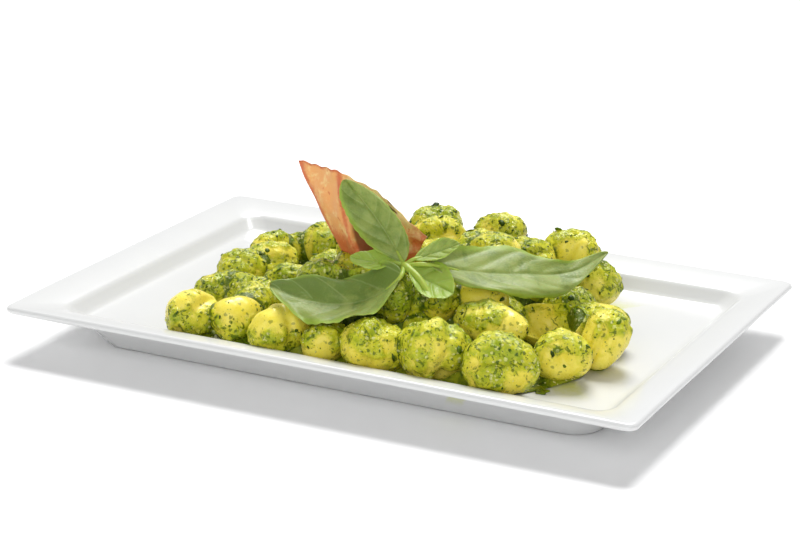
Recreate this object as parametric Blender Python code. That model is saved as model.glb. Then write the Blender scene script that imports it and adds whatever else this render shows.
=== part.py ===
"""Potato gnocchi in pesto, heaped on a rectangular porcelain plate, with a sprig of basil and a tomato crisp.

Four solids: plate, gnocchi_heap, basil_sprig and tomato_crisp. Metres, +Z up. The origin is the middle of the
plate's foot, on the table. +X runs along the plate's long side, and the diner sits at -Y.
"""

import math

import bmesh
import bpy
from mathutils import Euler, Vector
from mathutils.bvhtree import BVHTree

MM = 0.001
GAP = 0.3 * MM  # air kept between two solids that touch

# Plate, outside sizes
PLATE_LENGTH = 300 * MM
PLATE_WIDTH = 205 * MM
PLATE_HEIGHT = 22.5 * MM
LIP_THICKNESS = 3.4 * MM
RIM_WIDTH = 17.5 * MM
RIM_DROP = 3.5 * MM  # how far the rim falls from the lip to the well's edge
WELL_FLOOR = 12 * MM  # height of the well's floor above the table
WALL_RUN = 6 * MM  # how far the well's wall leans in from rim to floor
WALL_FOOT = RIM_WIDTH + WALL_RUN  # inset of the floor's edge
FOOT_INSET = 29.5 * MM
FOOT_RING = 5 * MM
RECESS = 5 * MM  # height of the hollow inside the foot ring
CORNER_STEPS = 7

# Gnocchi
NESTING = 0.9  # soft dough sinks a little into its neighbours

# Heap
CORE_CENTRE = (6 * MM, -6 * MM)
CORE_RADII = (93 * MM, 66 * MM)
CORE_TOP = 26 * MM
VOXEL = 3.7 * MM
KEPT_FACES = 0.33  # share of the merged heap's triangles that its finished shape needs
PRESS_REACH = 3.5 * MM  # the heap keeps clear of the garnish this far beyond its outline
PRESS_MARGIN = 1.0 * MM
MOULD_GAP = 0.4 * MM  # air cut round the garnish where it stands in the heap

# Garnish
LEAF_THICKNESS = 1.0 * MM
CRISP_THICKNESS = 1.2 * MM
STEM_RADIUS = 1.5 * MM
NODE_RADIUS = 3.0 * MM

COLOURS = {
    "plate": ((0.93, 0.93, 0.92), 0.12),
    "gnocchi_heap": ((0.62, 0.60, 0.12), 0.35),
    "basil_sprig": ((0.16, 0.34, 0.06), 0.45),
    "tomato_crisp": ((0.83, 0.25, 0.08), 0.50),
}

# The gnocchi, course by course from the plate up: x, y, turn about Z, tilt of the long axis, length, width.
# Places and sizes are in millimetres, angles in degrees. Heights follow from what each one rests on.
BOTTOM_COURSE = [
    (-72, -70, 65, 0, 24, 21),
    (-52, -64, 60, 10, 22, 18),
    (-25, -73, 55, 15, 29, 21),
    (-3, -73, 80, 0, 21, 18),
    (21, -74, 10, 0, 28, 23),
    (48, -69, 40, 0, 30, 26),
    (79, -73, 5, 0, 31, 25),
    (96, -46, 25, 0, 24, 22),
    (105, -23, 80, 45, 27, 20),
    (94, -1, 30, 0, 25, 20),
    (76, -12, 5, 0, 28, 22),
    (72, 16, 60, 0, 24, 20),
    (73, 50, 60, 0, 23, 21),
    (52, 66, 10, 0, 24, 19),
    (32, 64, 10, 0, 23, 19),
    (1, 66, 60, 0, 24, 21),
    (-20, 60, -15, 0, 27, 21),
    (-44, 52, 30, 0, 24, 20),
    (-64, 40, -30, 0, 25, 22),
    (-78, 38, 50, 0, 20, 16),
    (-86, 25, 60, 30, 22, 18),
    (-75, 8, 20, 10, 24, 20),
    (-83, -7, 60, 0, 22, 19),
    (-77, -35, 70, 0, 24, 18),
    (-64, -33, 30, 0, 22, 18),
    (-52, -46, 75, 0, 24, 20),
    (-50, -19, 20, 15, 25, 20),
]
MIDDLE_COURSE = [
    (-16, -50, 20, 0, 24, 20),
    (2, -51, 20, 0, 24, 20),
    (20, -46, 60, 0, 24, 20),
    (35, -38, 80, 0, 18, 16),
    (47, -26, 15, 0, 26, 20),
    (61, -43, 2, 0, 33, 17),
    (60, 48, 10, 0, 27, 18),
    (18, 62, -5, 0, 25, 19),
    (0, 32, 20, 0, 27, 21),
    (-11, 51, 30, 0, 24, 20),
    (-34, 34, -35, 0, 24, 20),
    (-12, -26, 60, 0, 24, 20),
    (46, 30, 40, 0, 25, 20),
]
TOP_COURSE = [
    (12, 2, 25, 0, 28, 21),
    (-14, -8, 70, 0, 24, 20),
    (-27, 10, 20, 0, 26, 20),
    (34, -10, 30, 0, 26, 20),
    (38, 12, -20, 0, 25, 20),
    (24, 22, 70, 0, 24, 20),
    (-10, 12, 40, 0, 24, 18),
]
INNER_SPACING = 21 * MM  # lattice of the buried gnocchi that carry the upper courses
INNER_RADII = (84 * MM, 60 * MM)


# ------------------------------------------------------------------ helpers


def clear_scene():
    """Removes whatever the scene holds."""
    for item in list(bpy.data.objects):
        bpy.data.objects.remove(item, do_unlink=True)


def make_object(name, mesh):
    """Links a new object for the mesh, and gives it its own material when it is one of the named parts."""
    item = bpy.data.objects.new(name, mesh)
    bpy.context.scene.collection.objects.link(item)
    if name in COLOURS:
        colour, roughness = COLOURS[name]
        material = bpy.data.materials.new(name)
        material.use_nodes = True
        shader = material.node_tree.nodes["Principled BSDF"]
        shader.inputs["Base Color"].default_value = (*colour, 1.0)
        shader.inputs["Roughness"].default_value = roughness
        shader.inputs["Metallic"].default_value = 0.0
        mesh.materials.append(material)
    return item


def mesh_from(name, points, faces):
    """A mesh from points and faces, with its normals made consistent."""
    mesh = bpy.data.meshes.new(name)
    mesh.from_pydata([tuple(p) for p in points], [], faces)
    work = bmesh.new()
    work.from_mesh(mesh)
    bmesh.ops.recalc_face_normals(work, faces=work.faces)
    work.to_mesh(mesh)
    work.free()
    return mesh


def applied(item):
    """Bakes the object's modifiers into its mesh."""
    graph = bpy.context.evaluated_depsgraph_get()
    mesh = bpy.data.meshes.new_from_object(item.evaluated_get(graph))
    item.modifiers.clear()
    item.data = mesh
    return item


def boolean(item, other, operation):
    """Joins other to item or cuts it away, and removes other."""
    modifier = item.modifiers.new(operation.title(), "BOOLEAN")
    modifier.operation = operation
    modifier.solver = "EXACT"
    modifier.use_self = True
    modifier.object = other
    bpy.context.view_layer.update()
    applied(item)
    bpy.data.objects.remove(other, do_unlink=True)
    return item


def loft(rings, close_ends=True):
    """Points and faces of a surface through rings with equal numbers of points."""
    count = len(rings[0])
    points = [p for ring in rings for p in ring]
    faces = []
    for r in range(len(rings) - 1):
        for i in range(count):
            j = (i + 1) % count
            faces.append((r * count + i, r * count + j, (r + 1) * count + j, (r + 1) * count + i))
    if close_ends:
        faces.append(tuple(reversed(range(count))))
        faces.append(tuple(range((len(rings) - 1) * count, len(rings) * count)))
    return points, faces


# ------------------------------------------------------------------ plate


def rounded_rectangle(inset, height, radius):
    """A ring of points at an inset from the plate's outline, with corners of the given radius."""
    half_length = PLATE_LENGTH / 2 - inset - radius
    half_width = PLATE_WIDTH / 2 - inset - radius
    ring = []
    for quarter, (sx, sy) in enumerate(((1, 1), (-1, 1), (-1, -1), (1, -1))):
        for step in range(CORNER_STEPS):
            angle = math.radians(90) * (quarter + step / (CORNER_STEPS - 1))
            x = sx * half_length + radius * math.cos(angle)
            y = sy * half_width + radius * math.sin(angle)
            ring.append((x, y, height))
    return ring


def plate_section():
    """The plate's section from the hollow under the foot, round the lip, to the well's floor.

    Each entry is inset from the outline, height, and corner radius in plan.
    """
    rim_edge = PLATE_HEIGHT - RIM_DROP
    under_lip = PLATE_HEIGHT - LIP_THICKNESS
    under_rim = rim_edge - LIP_THICKNESS
    lip = LIP_THICKNESS / 2
    ring_inside = FOOT_INSET + FOOT_RING
    section = [
        (ring_inside + 3 * MM, RECESS, 9 * MM),
        (ring_inside, 0.6 * MM, 10 * MM),
        (ring_inside - 1 * MM, 0, 11 * MM),
        (FOOT_INSET + 1 * MM, 0, 13 * MM),
        (FOOT_INSET, 0.6 * MM, 14 * MM),
        (RIM_WIDTH + 2.5 * MM, under_rim - 2.2 * MM, 13 * MM),
        (RIM_WIDTH - 0.5 * MM, under_rim, 12 * MM),
    ]
    for step in range(7):  # the rolled lip, a half round
        angle = math.radians(-90 + 30 * step)
        inset = lip * (1 - math.cos(angle))
        height = under_lip + lip + lip * math.sin(angle)
        section.append((inset, height, 4.5 * MM))
    section += [
        (RIM_WIDTH - 2 * MM, rim_edge + 0.4 * MM, 9 * MM),
        (RIM_WIDTH, rim_edge - 0.4 * MM, 9 * MM),
        (RIM_WIDTH + 1.2 * MM, rim_edge - 1.6 * MM, 9 * MM),
        (WALL_FOOT - 1.4 * MM, WELL_FLOOR + 1.4 * MM, 9 * MM),
        (WALL_FOOT + 0.2 * MM, WELL_FLOOR + 0.3 * MM, 9 * MM),
        (WALL_FOOT + 2.2 * MM, WELL_FLOOR, 8 * MM),
    ]
    return section


def make_plate():
    """The plate as one lofted solid."""
    rings = [rounded_rectangle(*entry) for entry in plate_section()]
    points, faces = loft(rings)
    item = make_object("plate", mesh_from("plate", points, faces))
    item.data.shade_smooth()
    item.data.set_sharp_from_angle(angle=math.radians(50))
    return item


def well_inset(height):
    """How far the well's wall stands in from the plate's outline at a height above its floor."""
    rise = PLATE_HEIGHT - RIM_DROP - WELL_FLOOR
    share = min(1.0, max(0.0, (height - WELL_FLOOR) / rise))
    return WALL_FOOT + 1.5 * MM - (WALL_RUN + 1.5 * MM) * share


# ------------------------------------------------------------------ gnocchi


class Gnocco:
    """One gnocco: a plump oval with its middle, its half sizes and the way it lies."""

    def __init__(self, x, y, turn, tilt, length, width):
        self.place = Vector((x * MM, y * MM, 0))
        self.half_length = length * MM / 2
        self.half_width = width * MM / 2
        self.facing = Euler((0, -math.radians(tilt), math.radians(turn)))

    def balls(self):
        """Three balls along the gnocco's length that stand for it while it is laid: middle offset and radius."""
        axis = Vector((1, 0, 0))
        axis.rotate(self.facing)
        reach = max(0.0, self.half_length - self.half_width)
        return [(axis * (reach * s), self.half_width) for s in (-1, 0, 1)]

    def settle(self, laid):
        """Lowers the gnocco until it touches the floor or a gnocco laid before it."""
        height = 0.0
        for offset, radius in self.balls():
            height = max(height, WELL_FLOOR + GAP + radius - offset.z)
            for other in laid:
                for other_offset, other_radius in other.balls():
                    apart = (self.place + offset - other.place - other_offset).to_2d().length
                    touch = (radius + other_radius) * NESTING
                    if apart < touch:
                        rise = math.sqrt(touch**2 - apart**2)
                        height = max(height, other.place.z + other_offset.z + rise - offset.z)
        self.place.z = height


def inner_course(outer, low):
    """Places of the buried gnocchi: a staggered lattice inside the heap, clear of the outer ones.

    Those under the low gnocchi of the course above are small.
    """
    found = []
    for row in range(-4, 5):
        for column in range(-5, 6):
            x = (column + 0.5 * (row % 2)) * INNER_SPACING + CORE_CENTRE[0]
            y = row * INNER_SPACING * math.sqrt(3) / 2 + CORE_CENTRE[1]
            share_x = abs(x - CORE_CENTRE[0]) / INNER_RADII[0]
            share_y = abs(y - CORE_CENTRE[1]) / INNER_RADII[1]
            clear = all(math.hypot(x - px * MM, y - py * MM) > 0.8 * INNER_SPACING for px, py, *_ in outer)
            under = any(math.hypot(x - px * MM, y - py * MM) < 0.8 * INNER_SPACING for px, py, *_ in low)
            size = (16, 12) if under else (23, 19)
            if share_x**3 + share_y**3 < 1 and clear:
                found.append((x / MM, y / MM, 40 * row, 0, *size))
    return found


def lay_gnocchi():
    """All the gnocchi, each settled on the plate or on those laid before it."""
    laid = []
    # The sixth of the middle course lies low, at the front
    floor = BOTTOM_COURSE + inner_course(BOTTOM_COURSE, MIDDLE_COURSE[5:6])
    for course in (floor, MIDDLE_COURSE, TOP_COURSE):
        settled = []
        for row in course:
            gnocco = Gnocco(*row)
            gnocco.settle(laid)
            settled.append(gnocco)
        laid += settled
    return laid


def gnocco_shape(gnocco, around=16, along=9):
    """Points and faces of a gnocco: an oval with slightly squared ends."""
    rings = []
    for i in range(1, along):
        angle = math.pi * i / along
        x = -math.cos(angle) * gnocco.half_length
        girth = math.sin(angle) ** 0.85
        ring = []
        for k in range(around):
            turn = 2 * math.pi * k / around
            y = math.cos(turn) * girth * gnocco.half_width
            z = math.sin(turn) * girth * gnocco.half_width
            point = Vector((x, y, z))
            point.rotate(gnocco.facing)
            ring.append(point + gnocco.place)
        rings.append(ring)
    return loft(rings)


def core_shape():
    """Points and faces of the heap's core: a low dome that fills the space between the gnocchi."""
    rings = []
    base = WELL_FLOOR + GAP
    steps = 9
    for i in range(steps):
        share = i / steps
        size = math.cos(math.pi / 2 * share)
        height = base + (CORE_TOP - base) * math.sin(math.pi / 2 * share)
        ring = []
        for k in range(36):
            turn = 2 * math.pi * k / 36
            x = CORE_CENTRE[0] + CORE_RADII[0] * size * math.cos(turn)
            y = CORE_CENTRE[1] + CORE_RADII[1] * size * math.sin(turn)
            ring.append((x, y, height))
        rings.append(ring)
    return loft(rings)


def keep_largest(mesh):
    """Removes every loose part of a mesh but the largest, so that no bubble is left inside."""
    work = bmesh.new()
    work.from_mesh(mesh)
    waiting = set(work.verts)
    islands = []
    while waiting:
        start = waiting.pop()
        island = {start}
        edge = [start]
        while edge:
            for link in edge.pop().link_edges:
                for vert in link.verts:
                    if vert in waiting:
                        waiting.discard(vert)
                        island.add(vert)
                        edge.append(vert)
        islands.append(island)
    islands.sort(key=len)
    for island in islands[:-1]:
        bmesh.ops.delete(work, geom=list(island), context="VERTS")
    work.to_mesh(mesh)
    work.free()


def make_heap(garnish, moulds):
    """The heap as one solid: gnocchi and core merged, pressed down where the garnish lies on it."""
    points = []
    faces = []
    shapes = [gnocco_shape(g) for g in lay_gnocchi()] + [core_shape()]
    for shape_points, shape_faces in shapes:
        start = len(points)
        points += shape_points
        faces += [tuple(start + i for i in face) for face in shape_faces]
    item = make_object("gnocchi_heap", mesh_from("gnocchi_heap", points, faces))
    material = item.data.materials[0]
    remesh = item.modifiers.new("Merge", "REMESH")
    remesh.mode = "VOXEL"
    remesh.voxel_size = VOXEL
    bpy.context.view_layer.update()
    applied(item)
    keep_largest(item.data)
    press_down(item.data, garnish)
    keep_in_well(item.data)
    thin = item.modifiers.new("Thin", "DECIMATE")
    thin.ratio = KEPT_FACES
    bpy.context.view_layer.update()
    applied(item)
    keep_in_well(item.data)
    for mould in moulds:
        boolean(item, mould, "DIFFERENCE")
    keep_largest(item.data)
    item.data.materials.clear()
    item.data.materials.append(material)
    item.data.shade_smooth()
    return item


def press_down(mesh, garnish):
    """Lowers the points of the heap that would reach into the garnish above them."""
    graph = bpy.context.evaluated_depsgraph_get()
    trees = [BVHTree.FromObject(item, graph) for item in garnish]
    up = Vector((0, 0, 1))
    around = [Vector((0, 0, 0))]
    for step in range(16):
        turn = math.radians(45) * step
        reach = PRESS_REACH / (1 + step // 8)
        around.append(Vector((reach * math.cos(turn), reach * math.sin(turn), 0)))
    for vert in mesh.vertices:
        start = Vector((vert.co.x, vert.co.y, WELL_FLOOR))
        hits = [tree.ray_cast(start + offset, up)[0] for tree in trees for offset in around]
        heights = [hit.z for hit in hits if hit is not None]
        if heights:
            vert.co.z = min(vert.co.z, min(heights) - PRESS_MARGIN)


def keep_in_well(mesh):
    """Keeps the heap off the plate: above the floor and inside the well's walls."""
    for vert in mesh.vertices:
        vert.co.z = max(vert.co.z, WELL_FLOOR + GAP)
        inset = well_inset(vert.co.z) + GAP
        if vert.co.z > PLATE_HEIGHT - RIM_DROP + 2 * MM:
            continue
        limit_x = PLATE_LENGTH / 2 - inset
        limit_y = PLATE_WIDTH / 2 - inset
        vert.co.x = max(-limit_x, min(limit_x, vert.co.x))
        vert.co.y = max(-limit_y, min(limit_y, vert.co.y))


# ------------------------------------------------------------------ basil


class Leaf:
    """A basil leaf, given by its base, its tip and the middle of its two margins, in millimetres."""

    def __init__(self, base, tip, left, right, crease=3.0, widest=0.45, wave=0.0, rise=0.7):
        self.base = Vector(base) * MM
        self.tip = Vector(tip) * MM
        self.left = Vector(left) * MM
        self.right = Vector(right) * MM
        self.crease = crease * MM  # how far the midrib lies below the margins
        self.widest = widest
        self.wave = wave * MM
        self.rise = rise  # below 1 the blade's foot is round, above 1 it is narrow

    def frame(self):
        """Half width vector across the blade, blade normal, and the midrib's bending point."""
        across = (self.right - self.left) / 2
        along = (self.tip - self.base).normalized()
        normal = across.cross(along).normalized()
        if normal.z < 0:
            normal.negate()
        middle = (self.left + self.right) / 2 - normal * self.crease
        w = self.widest
        control = (middle - self.base * (1 - w) ** 2 - self.tip * w**2) / (2 * w * (1 - w))
        return across, normal, control

    def width_share(self, s):
        """Half width at a share s of the length, 1 at the widest place."""
        fall = self.rise * (1 - self.widest) / self.widest
        peak = self.widest**self.rise * (1 - self.widest) ** fall
        return max(0.04, s**self.rise * (1 - s) ** fall / peak)

    def point(self, s, t):
        """A point of the blade: s runs from base to tip, and t from the left margin to the right one."""
        across, normal, control = self.frame()
        rib = self.base * (1 - s) ** 2 + control * (2 * s * (1 - s)) + self.tip * s**2
        share = self.width_share(s)
        rise = self.crease * share * abs(t) ** 1.6
        ripple = self.wave * share * abs(t) ** 2 * math.sin(s * 9 + 2 * t)
        return rib + across * (t * share) + normal * (rise + ripple)


NODE = Vector((21, -47, 52)) * MM
LEAVES = [
    Leaf((20, -46, 53), (-9, -45, 86), (-3, -50, 68), (19, -41, 73), crease=3, widest=0.5),
    Leaf((24, -56, 50), (-33, -69, 41), (2, -51, 51), (10, -80, 34), crease=4, widest=0.4, wave=2.0, rise=0.45),
    Leaf((32, -46, 54), (88, 20, 49), (51, -8, 56), (72, -30, 41), crease=2.5, widest=0.4, rise=0.62),
    Leaf((25, -45, 55), (42, -36, 62), (31, -35, 62), (37, -44, 57), crease=1.5, widest=0.5),
    Leaf((25, -50, 52), (48, -54, 46), (37, -42, 54), (38, -60, 45), crease=2.5, widest=0.5),
    Leaf((17, -48, 53), (-1, -55, 55), (8, -47, 57), (9, -58, 52), crease=1.5, widest=0.5),
]
STEM = [(10, -38, 51), (21, -47, 52), (30, -52, 50), (38, -56, 44)]


def thick_sheet(surface, direction, steps_along, steps_across, thickness, spread=0.0):
    """Points and faces of a thin closed body around surface(s, t), with s in 0..1 and t in -1..1.

    The body is thickness deep along direction. Spread lengthens both ranges by that share at each end.
    """
    count = steps_across + 1
    offset = direction * thickness / 2
    upper = []
    lower = []
    for i in range(steps_along + 1):
        s = i / steps_along * (1 + 2 * spread) - spread
        for j in range(count):
            t = (2 * j / steps_across - 1) * (1 + spread)
            place = surface(s, t)
            upper.append(place + offset)
            lower.append(place - offset)
    points = upper + lower
    shift = len(upper)
    faces = []
    for i in range(steps_along):
        for j in range(steps_across):
            a = i * count + j
            b = a + 1
            c = a + count + 1
            d = a + count
            faces += [(a, b, c), (a, c, d), (shift + c, shift + b, shift + a), (shift + d, shift + c, shift + a)]
    edge = [(0, j) for j in range(count)]
    edge += [(i, steps_across) for i in range(1, steps_along + 1)]
    edge += [(steps_along, j) for j in range(steps_across - 1, -1, -1)]
    edge += [(i, 0) for i in range(steps_along - 1, 0, -1)]
    for k, (i, j) in enumerate(edge):
        m, n = edge[(k + 1) % len(edge)]
        a = i * count + j
        b = m * count + n
        faces += [(a, b, shift + b), (a, shift + b, shift + a)]
    return points, faces


def make_sprig(name, grown=0.0):
    """The basil sprig as one solid: six leaves joined to a short stem, grown on all sides by an amount."""
    points, faces = tube([Vector(p) * MM for p in STEM], STEM_RADIUS + grown)
    item = make_object(name, mesh_from("stem", points, faces))
    knot = bmesh.new()
    bmesh.ops.create_icosphere(knot, subdivisions=1, radius=NODE_RADIUS + grown)
    knot_mesh = bpy.data.meshes.new("knot")
    knot.to_mesh(knot_mesh)
    knot.free()
    for vert in knot_mesh.vertices:
        vert.co += NODE
    boolean(item, make_object("knot", knot_mesh), "UNION")
    for number, leaf in enumerate(LEAVES):
        stalk_points, stalk_faces = tube([NODE, leaf.base, leaf.point(0.12, 0)], STEM_RADIUS * 0.8 + grown)
        boolean(item, make_object("stalk", mesh_from("stalk", stalk_points, stalk_faces)), "UNION")
        blade = thick_sheet(leaf.point, leaf.frame()[1], 10, 4, LEAF_THICKNESS + 2 * grown)
        boolean(item, make_object(f"blade_{number}", mesh_from("blade", *blade)), "UNION")
    item.data.shade_smooth()
    item.data.set_sharp_from_angle(angle=math.radians(40))
    return item


def tube(route, radius, sides=6):
    """Points and faces of a closed round tube along a short route."""
    rings = []
    for i, place in enumerate(route):
        along = (route[min(i + 1, len(route) - 1)] - route[max(i - 1, 0)]).normalized()
        across = along.cross(Vector((0.3, 0.2, 1))).normalized()
        other = along.cross(across).normalized()
        turns = [2 * math.pi * k / sides for k in range(sides)]
        rings.append([place + (across * math.cos(a) + other * math.sin(a)) * radius for a in turns])
    return loft(rings)


# ------------------------------------------------------------------ tomato crisp


CRISP_FEET = [(-18, -24, 36), (-7, -32, 37), (4, -20, 38), (16, -22, 44)]
CRISP_FACING = Vector((0.2, -0.97, 0.1)).normalized()
CRISP_TOPS = [(-42, -28, 87), (-14, -38, 83), (6, -22, 70), (20, -20, 57)]


def crisp_point(s, t):
    """A point of the crisp: s runs up from the foot, and t across the three folds from left to right."""
    share = (t + 1) / 2 * (len(CRISP_FEET) - 1)
    place = min(int(share), len(CRISP_FEET) - 2)
    part = share - place
    foot = Vector(CRISP_FEET[place]).lerp(Vector(CRISP_FEET[place + 1]), part)
    top = Vector(CRISP_TOPS[place]).lerp(Vector(CRISP_TOPS[place + 1]), part)
    bow = 2.5 * math.sin(math.pi * s) * math.sin(math.pi * (t + 1))
    return (foot.lerp(top, s) + CRISP_FACING * bow) * MM


def make_crisp(name, grown=0.0):
    """The tomato crisp as one folded sheet, grown on all sides by an amount."""
    spread = 0.03 if grown else 0.0
    thickness = CRISP_THICKNESS + 2.5 * grown
    points, faces = thick_sheet(crisp_point, CRISP_FACING, 6, 9, thickness, spread)
    item = make_object(name, mesh_from(name, points, faces))
    item.data.shade_smooth()
    item.data.set_sharp_from_angle(angle=math.radians(40))
    return item


def main():
    """Builds the four solids."""
    clear_scene()
    make_plate()
    sprig = make_sprig("basil_sprig")
    crisp = make_crisp("tomato_crisp")
    moulds = [make_sprig("sprig_mould", MOULD_GAP), make_crisp("crisp_mould", MOULD_GAP)]
    make_heap([sprig], moulds)


main()
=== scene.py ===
"""Potato gnocchi in basil pesto on a rectangular porcelain plate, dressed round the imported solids.

Everything is in metres, in the frame of the solids: the origin is the middle of the plate's foot on the
table, +X runs along the plate's long side, +Z is up and the diner sits at -Y.
"""

import logging
import math
from dataclasses import dataclass, field
from enum import Enum, auto

import bpy
import numpy as np
from mathutils import Matrix, Vector


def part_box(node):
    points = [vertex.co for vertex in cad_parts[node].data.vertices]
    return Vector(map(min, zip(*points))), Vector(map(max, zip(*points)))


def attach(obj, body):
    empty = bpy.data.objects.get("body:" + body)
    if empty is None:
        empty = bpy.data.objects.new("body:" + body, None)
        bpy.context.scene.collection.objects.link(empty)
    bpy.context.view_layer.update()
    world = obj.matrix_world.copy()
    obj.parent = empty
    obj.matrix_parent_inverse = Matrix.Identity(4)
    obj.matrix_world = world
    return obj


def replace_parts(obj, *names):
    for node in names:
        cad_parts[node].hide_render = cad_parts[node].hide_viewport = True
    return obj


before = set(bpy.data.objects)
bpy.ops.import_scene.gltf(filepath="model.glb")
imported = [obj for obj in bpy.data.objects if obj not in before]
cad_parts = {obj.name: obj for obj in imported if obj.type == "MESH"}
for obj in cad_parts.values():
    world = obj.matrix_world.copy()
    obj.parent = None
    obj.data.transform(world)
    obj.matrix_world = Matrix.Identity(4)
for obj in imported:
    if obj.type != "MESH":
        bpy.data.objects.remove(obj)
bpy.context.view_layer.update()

LOG = logging.getLogger("gnocchi")
MM = 0.001
ROOT = "root"
FULL_TURN = 2 * np.pi
TINY = 1e-12

# The lattice of random numbers that value_noise reads, and the primes that scatter its cells over them
LATTICE_COUNT = 8192
LATTICE_PRIMES = np.array([73856093, 19349663, 83492791])

# Plate sizes that the solids don't tell
LIP_THICKNESS = 3.4 * MM
RIM_WIDTH = 17.5 * MM
RIM_DROP = 3.5 * MM
WALL_RUN = 6 * MM
WELL_FLOOR = 12 * MM
FOOT_INSET = 29.5 * MM
FOOT_RING = 5 * MM
RECESS = 5 * MM
WELL_CORNER = 9 * MM

TOWARDS_DINER = np.array([0.42, -0.86, 0.30])
OPEN_SIDE = np.array([-0.15, -0.55, 0.82])


# ------------------------------------------------------------------ numbers and arrays


def smooth_step(low: float, high: float, values: np.ndarray) -> np.ndarray:
    """0 below low, 1 above high, and a smooth S between them."""
    share = np.clip((values - low) / (high - low), 0.0, 1.0)
    return share * share * (3 - 2 * share)


def value_noise(points: np.ndarray, size: float, seed: int) -> np.ndarray:
    """Smooth noise between -1 and 1.

    Random numbers on a cubic lattice, blended by an S curve along each axis.

    Args:
        points: places, N by 3, in metres.
        size: width of one lattice cell.
        seed: picks the random numbers.

    Returns:
        One number for each place.
    """
    numbers = np.random.default_rng(seed).random(LATTICE_COUNT) * 2 - 1
    scaled = points / size
    cell = np.floor(scaled).astype(np.int64)
    part = scaled - cell
    part = part * part * (3 - 2 * part)
    total = np.zeros(len(points))
    for corner in range(8):
        step = np.array([corner & 1, corner >> 1 & 1, corner >> 2 & 1])
        key = np.bitwise_xor.reduce((cell + step) * LATTICE_PRIMES, axis=1)
        weight = np.prod(np.where(step == 1, part, 1 - part), axis=1)
        total += weight * numbers[key & (LATTICE_COUNT - 1)]
    return total


def layered_noise(points: np.ndarray, size: float, seed: int, layers: int = 3) -> np.ndarray:
    """Value noise plus finer and weaker layers, each half as wide and half as strong as the last."""
    total = np.zeros(len(points))
    for layer in range(layers):
        total += value_noise(points, size / 2**layer, seed + layer) / 2**layer
    return total / (2 - 2 ** (1 - layers))


def unit(vector: np.ndarray) -> np.ndarray:
    """The vectors, along the last axis, made one long."""
    return vector / np.maximum(np.linalg.norm(vector, axis=-1, keepdims=True), TINY)


@dataclass
class Surface:
    """Points and faces of one mesh, with numbers kept at its points."""

    points: np.ndarray
    quads: np.ndarray
    triangles: np.ndarray = field(default_factory=lambda: np.zeros((0, 3), dtype=np.int64))
    marks: dict[str, np.ndarray] = field(default_factory=dict)

    @staticmethod
    def joined(parts: list["Surface"]) -> "Surface":
        """One surface out of several, with the marks that all of them have."""
        starts = np.cumsum([0] + [len(p.points) for p in parts[:-1]])
        names = [n for n in parts[0].marks if all(n in p.marks for p in parts)]
        return Surface(
            np.concatenate([p.points for p in parts]),
            np.concatenate([p.quads + s for p, s in zip(parts, starts)]),
            np.concatenate([p.triangles + s for p, s in zip(parts, starts)]),
            {n: np.concatenate([p.marks[n] for p in parts]) for n in names},
        )

    def piece(self, name: str, material: bpy.types.Material, slot: str) -> bpy.types.Object:
        """Makes the surface a Blender object that rides on the plate's body.

        Args:
            name: the piece's name.
            material: its finish.
            slot: the record's material slot it belongs to; not used.

        Returns:
            The new object.
        """
        mesh = bpy.data.meshes.new(name)
        faces = len(self.quads) + len(self.triangles)
        corners = np.concatenate([self.quads.ravel(), self.triangles.ravel()]).astype(np.int32)
        starts = np.concatenate(
            [np.arange(len(self.quads)) * 4, len(self.quads) * 4 + np.arange(len(self.triangles)) * 3]
        ).astype(np.int32)
        mesh.vertices.add(len(self.points))
        mesh.vertices.foreach_set("co", self.points.astype(np.float32).ravel())
        mesh.loops.add(len(corners))
        mesh.loops.foreach_set("vertex_index", corners)
        mesh.polygons.add(faces)
        mesh.polygons.foreach_set("loop_start", starts)
        mesh.polygons.foreach_set("use_smooth", np.full(faces, True))
        for mark, values in self.marks.items():
            layer = mesh.attributes.new(mark, "FLOAT", "POINT")
            layer.data.foreach_set("value", values.astype(np.float32))
        mesh.update(calc_edges=True)
        mesh.validate()
        mesh.materials.append(material)
        item = bpy.data.objects.new(name, mesh)
        bpy.context.scene.collection.objects.link(item)
        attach(item, ROOT)
        LOG.info("%s: %d points, %d faces", name, len(self.points), faces)
        return item


def grid_quads(rows: int, columns: int, wrap: bool) -> np.ndarray:
    """Quads of a grid of points kept row by row, closed on itself across the columns if wrap is set."""
    last = columns if wrap else columns - 1
    i, j = np.meshgrid(np.arange(rows - 1), np.arange(last), indexing="ij")
    k = (j + 1) % columns
    here, beyond = i * columns, (i + 1) * columns
    return np.stack([here + j, here + k, beyond + k, beyond + j], axis=-1).reshape(-1, 4)


def capped_tube(rings: np.ndarray, start: np.ndarray, end: np.ndarray) -> Surface:
    """A closed surface through rings of points, with its ends drawn together to a point each.

    Args:
        rings: places, rings by points by 3, turning anticlockwise as seen from the end.
        start: the point that closes the first ring.
        end: the point that closes the last ring.

    Returns:
        The surface: the rings' points row by row, then the start and the end.
    """
    rows, columns, _ = rings.shape
    points = np.concatenate([rings.reshape(-1, 3), start[None], end[None]])
    j = np.arange(columns)
    k = (j + 1) % columns
    first = np.stack([np.full(columns, rows * columns), k, j], axis=-1)
    base = (rows - 1) * columns
    last = np.stack([np.full(columns, rows * columns + 1), base + j, base + k], axis=-1)
    return Surface(points, grid_quads(rows, columns, True), np.concatenate([first, last]))


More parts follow.
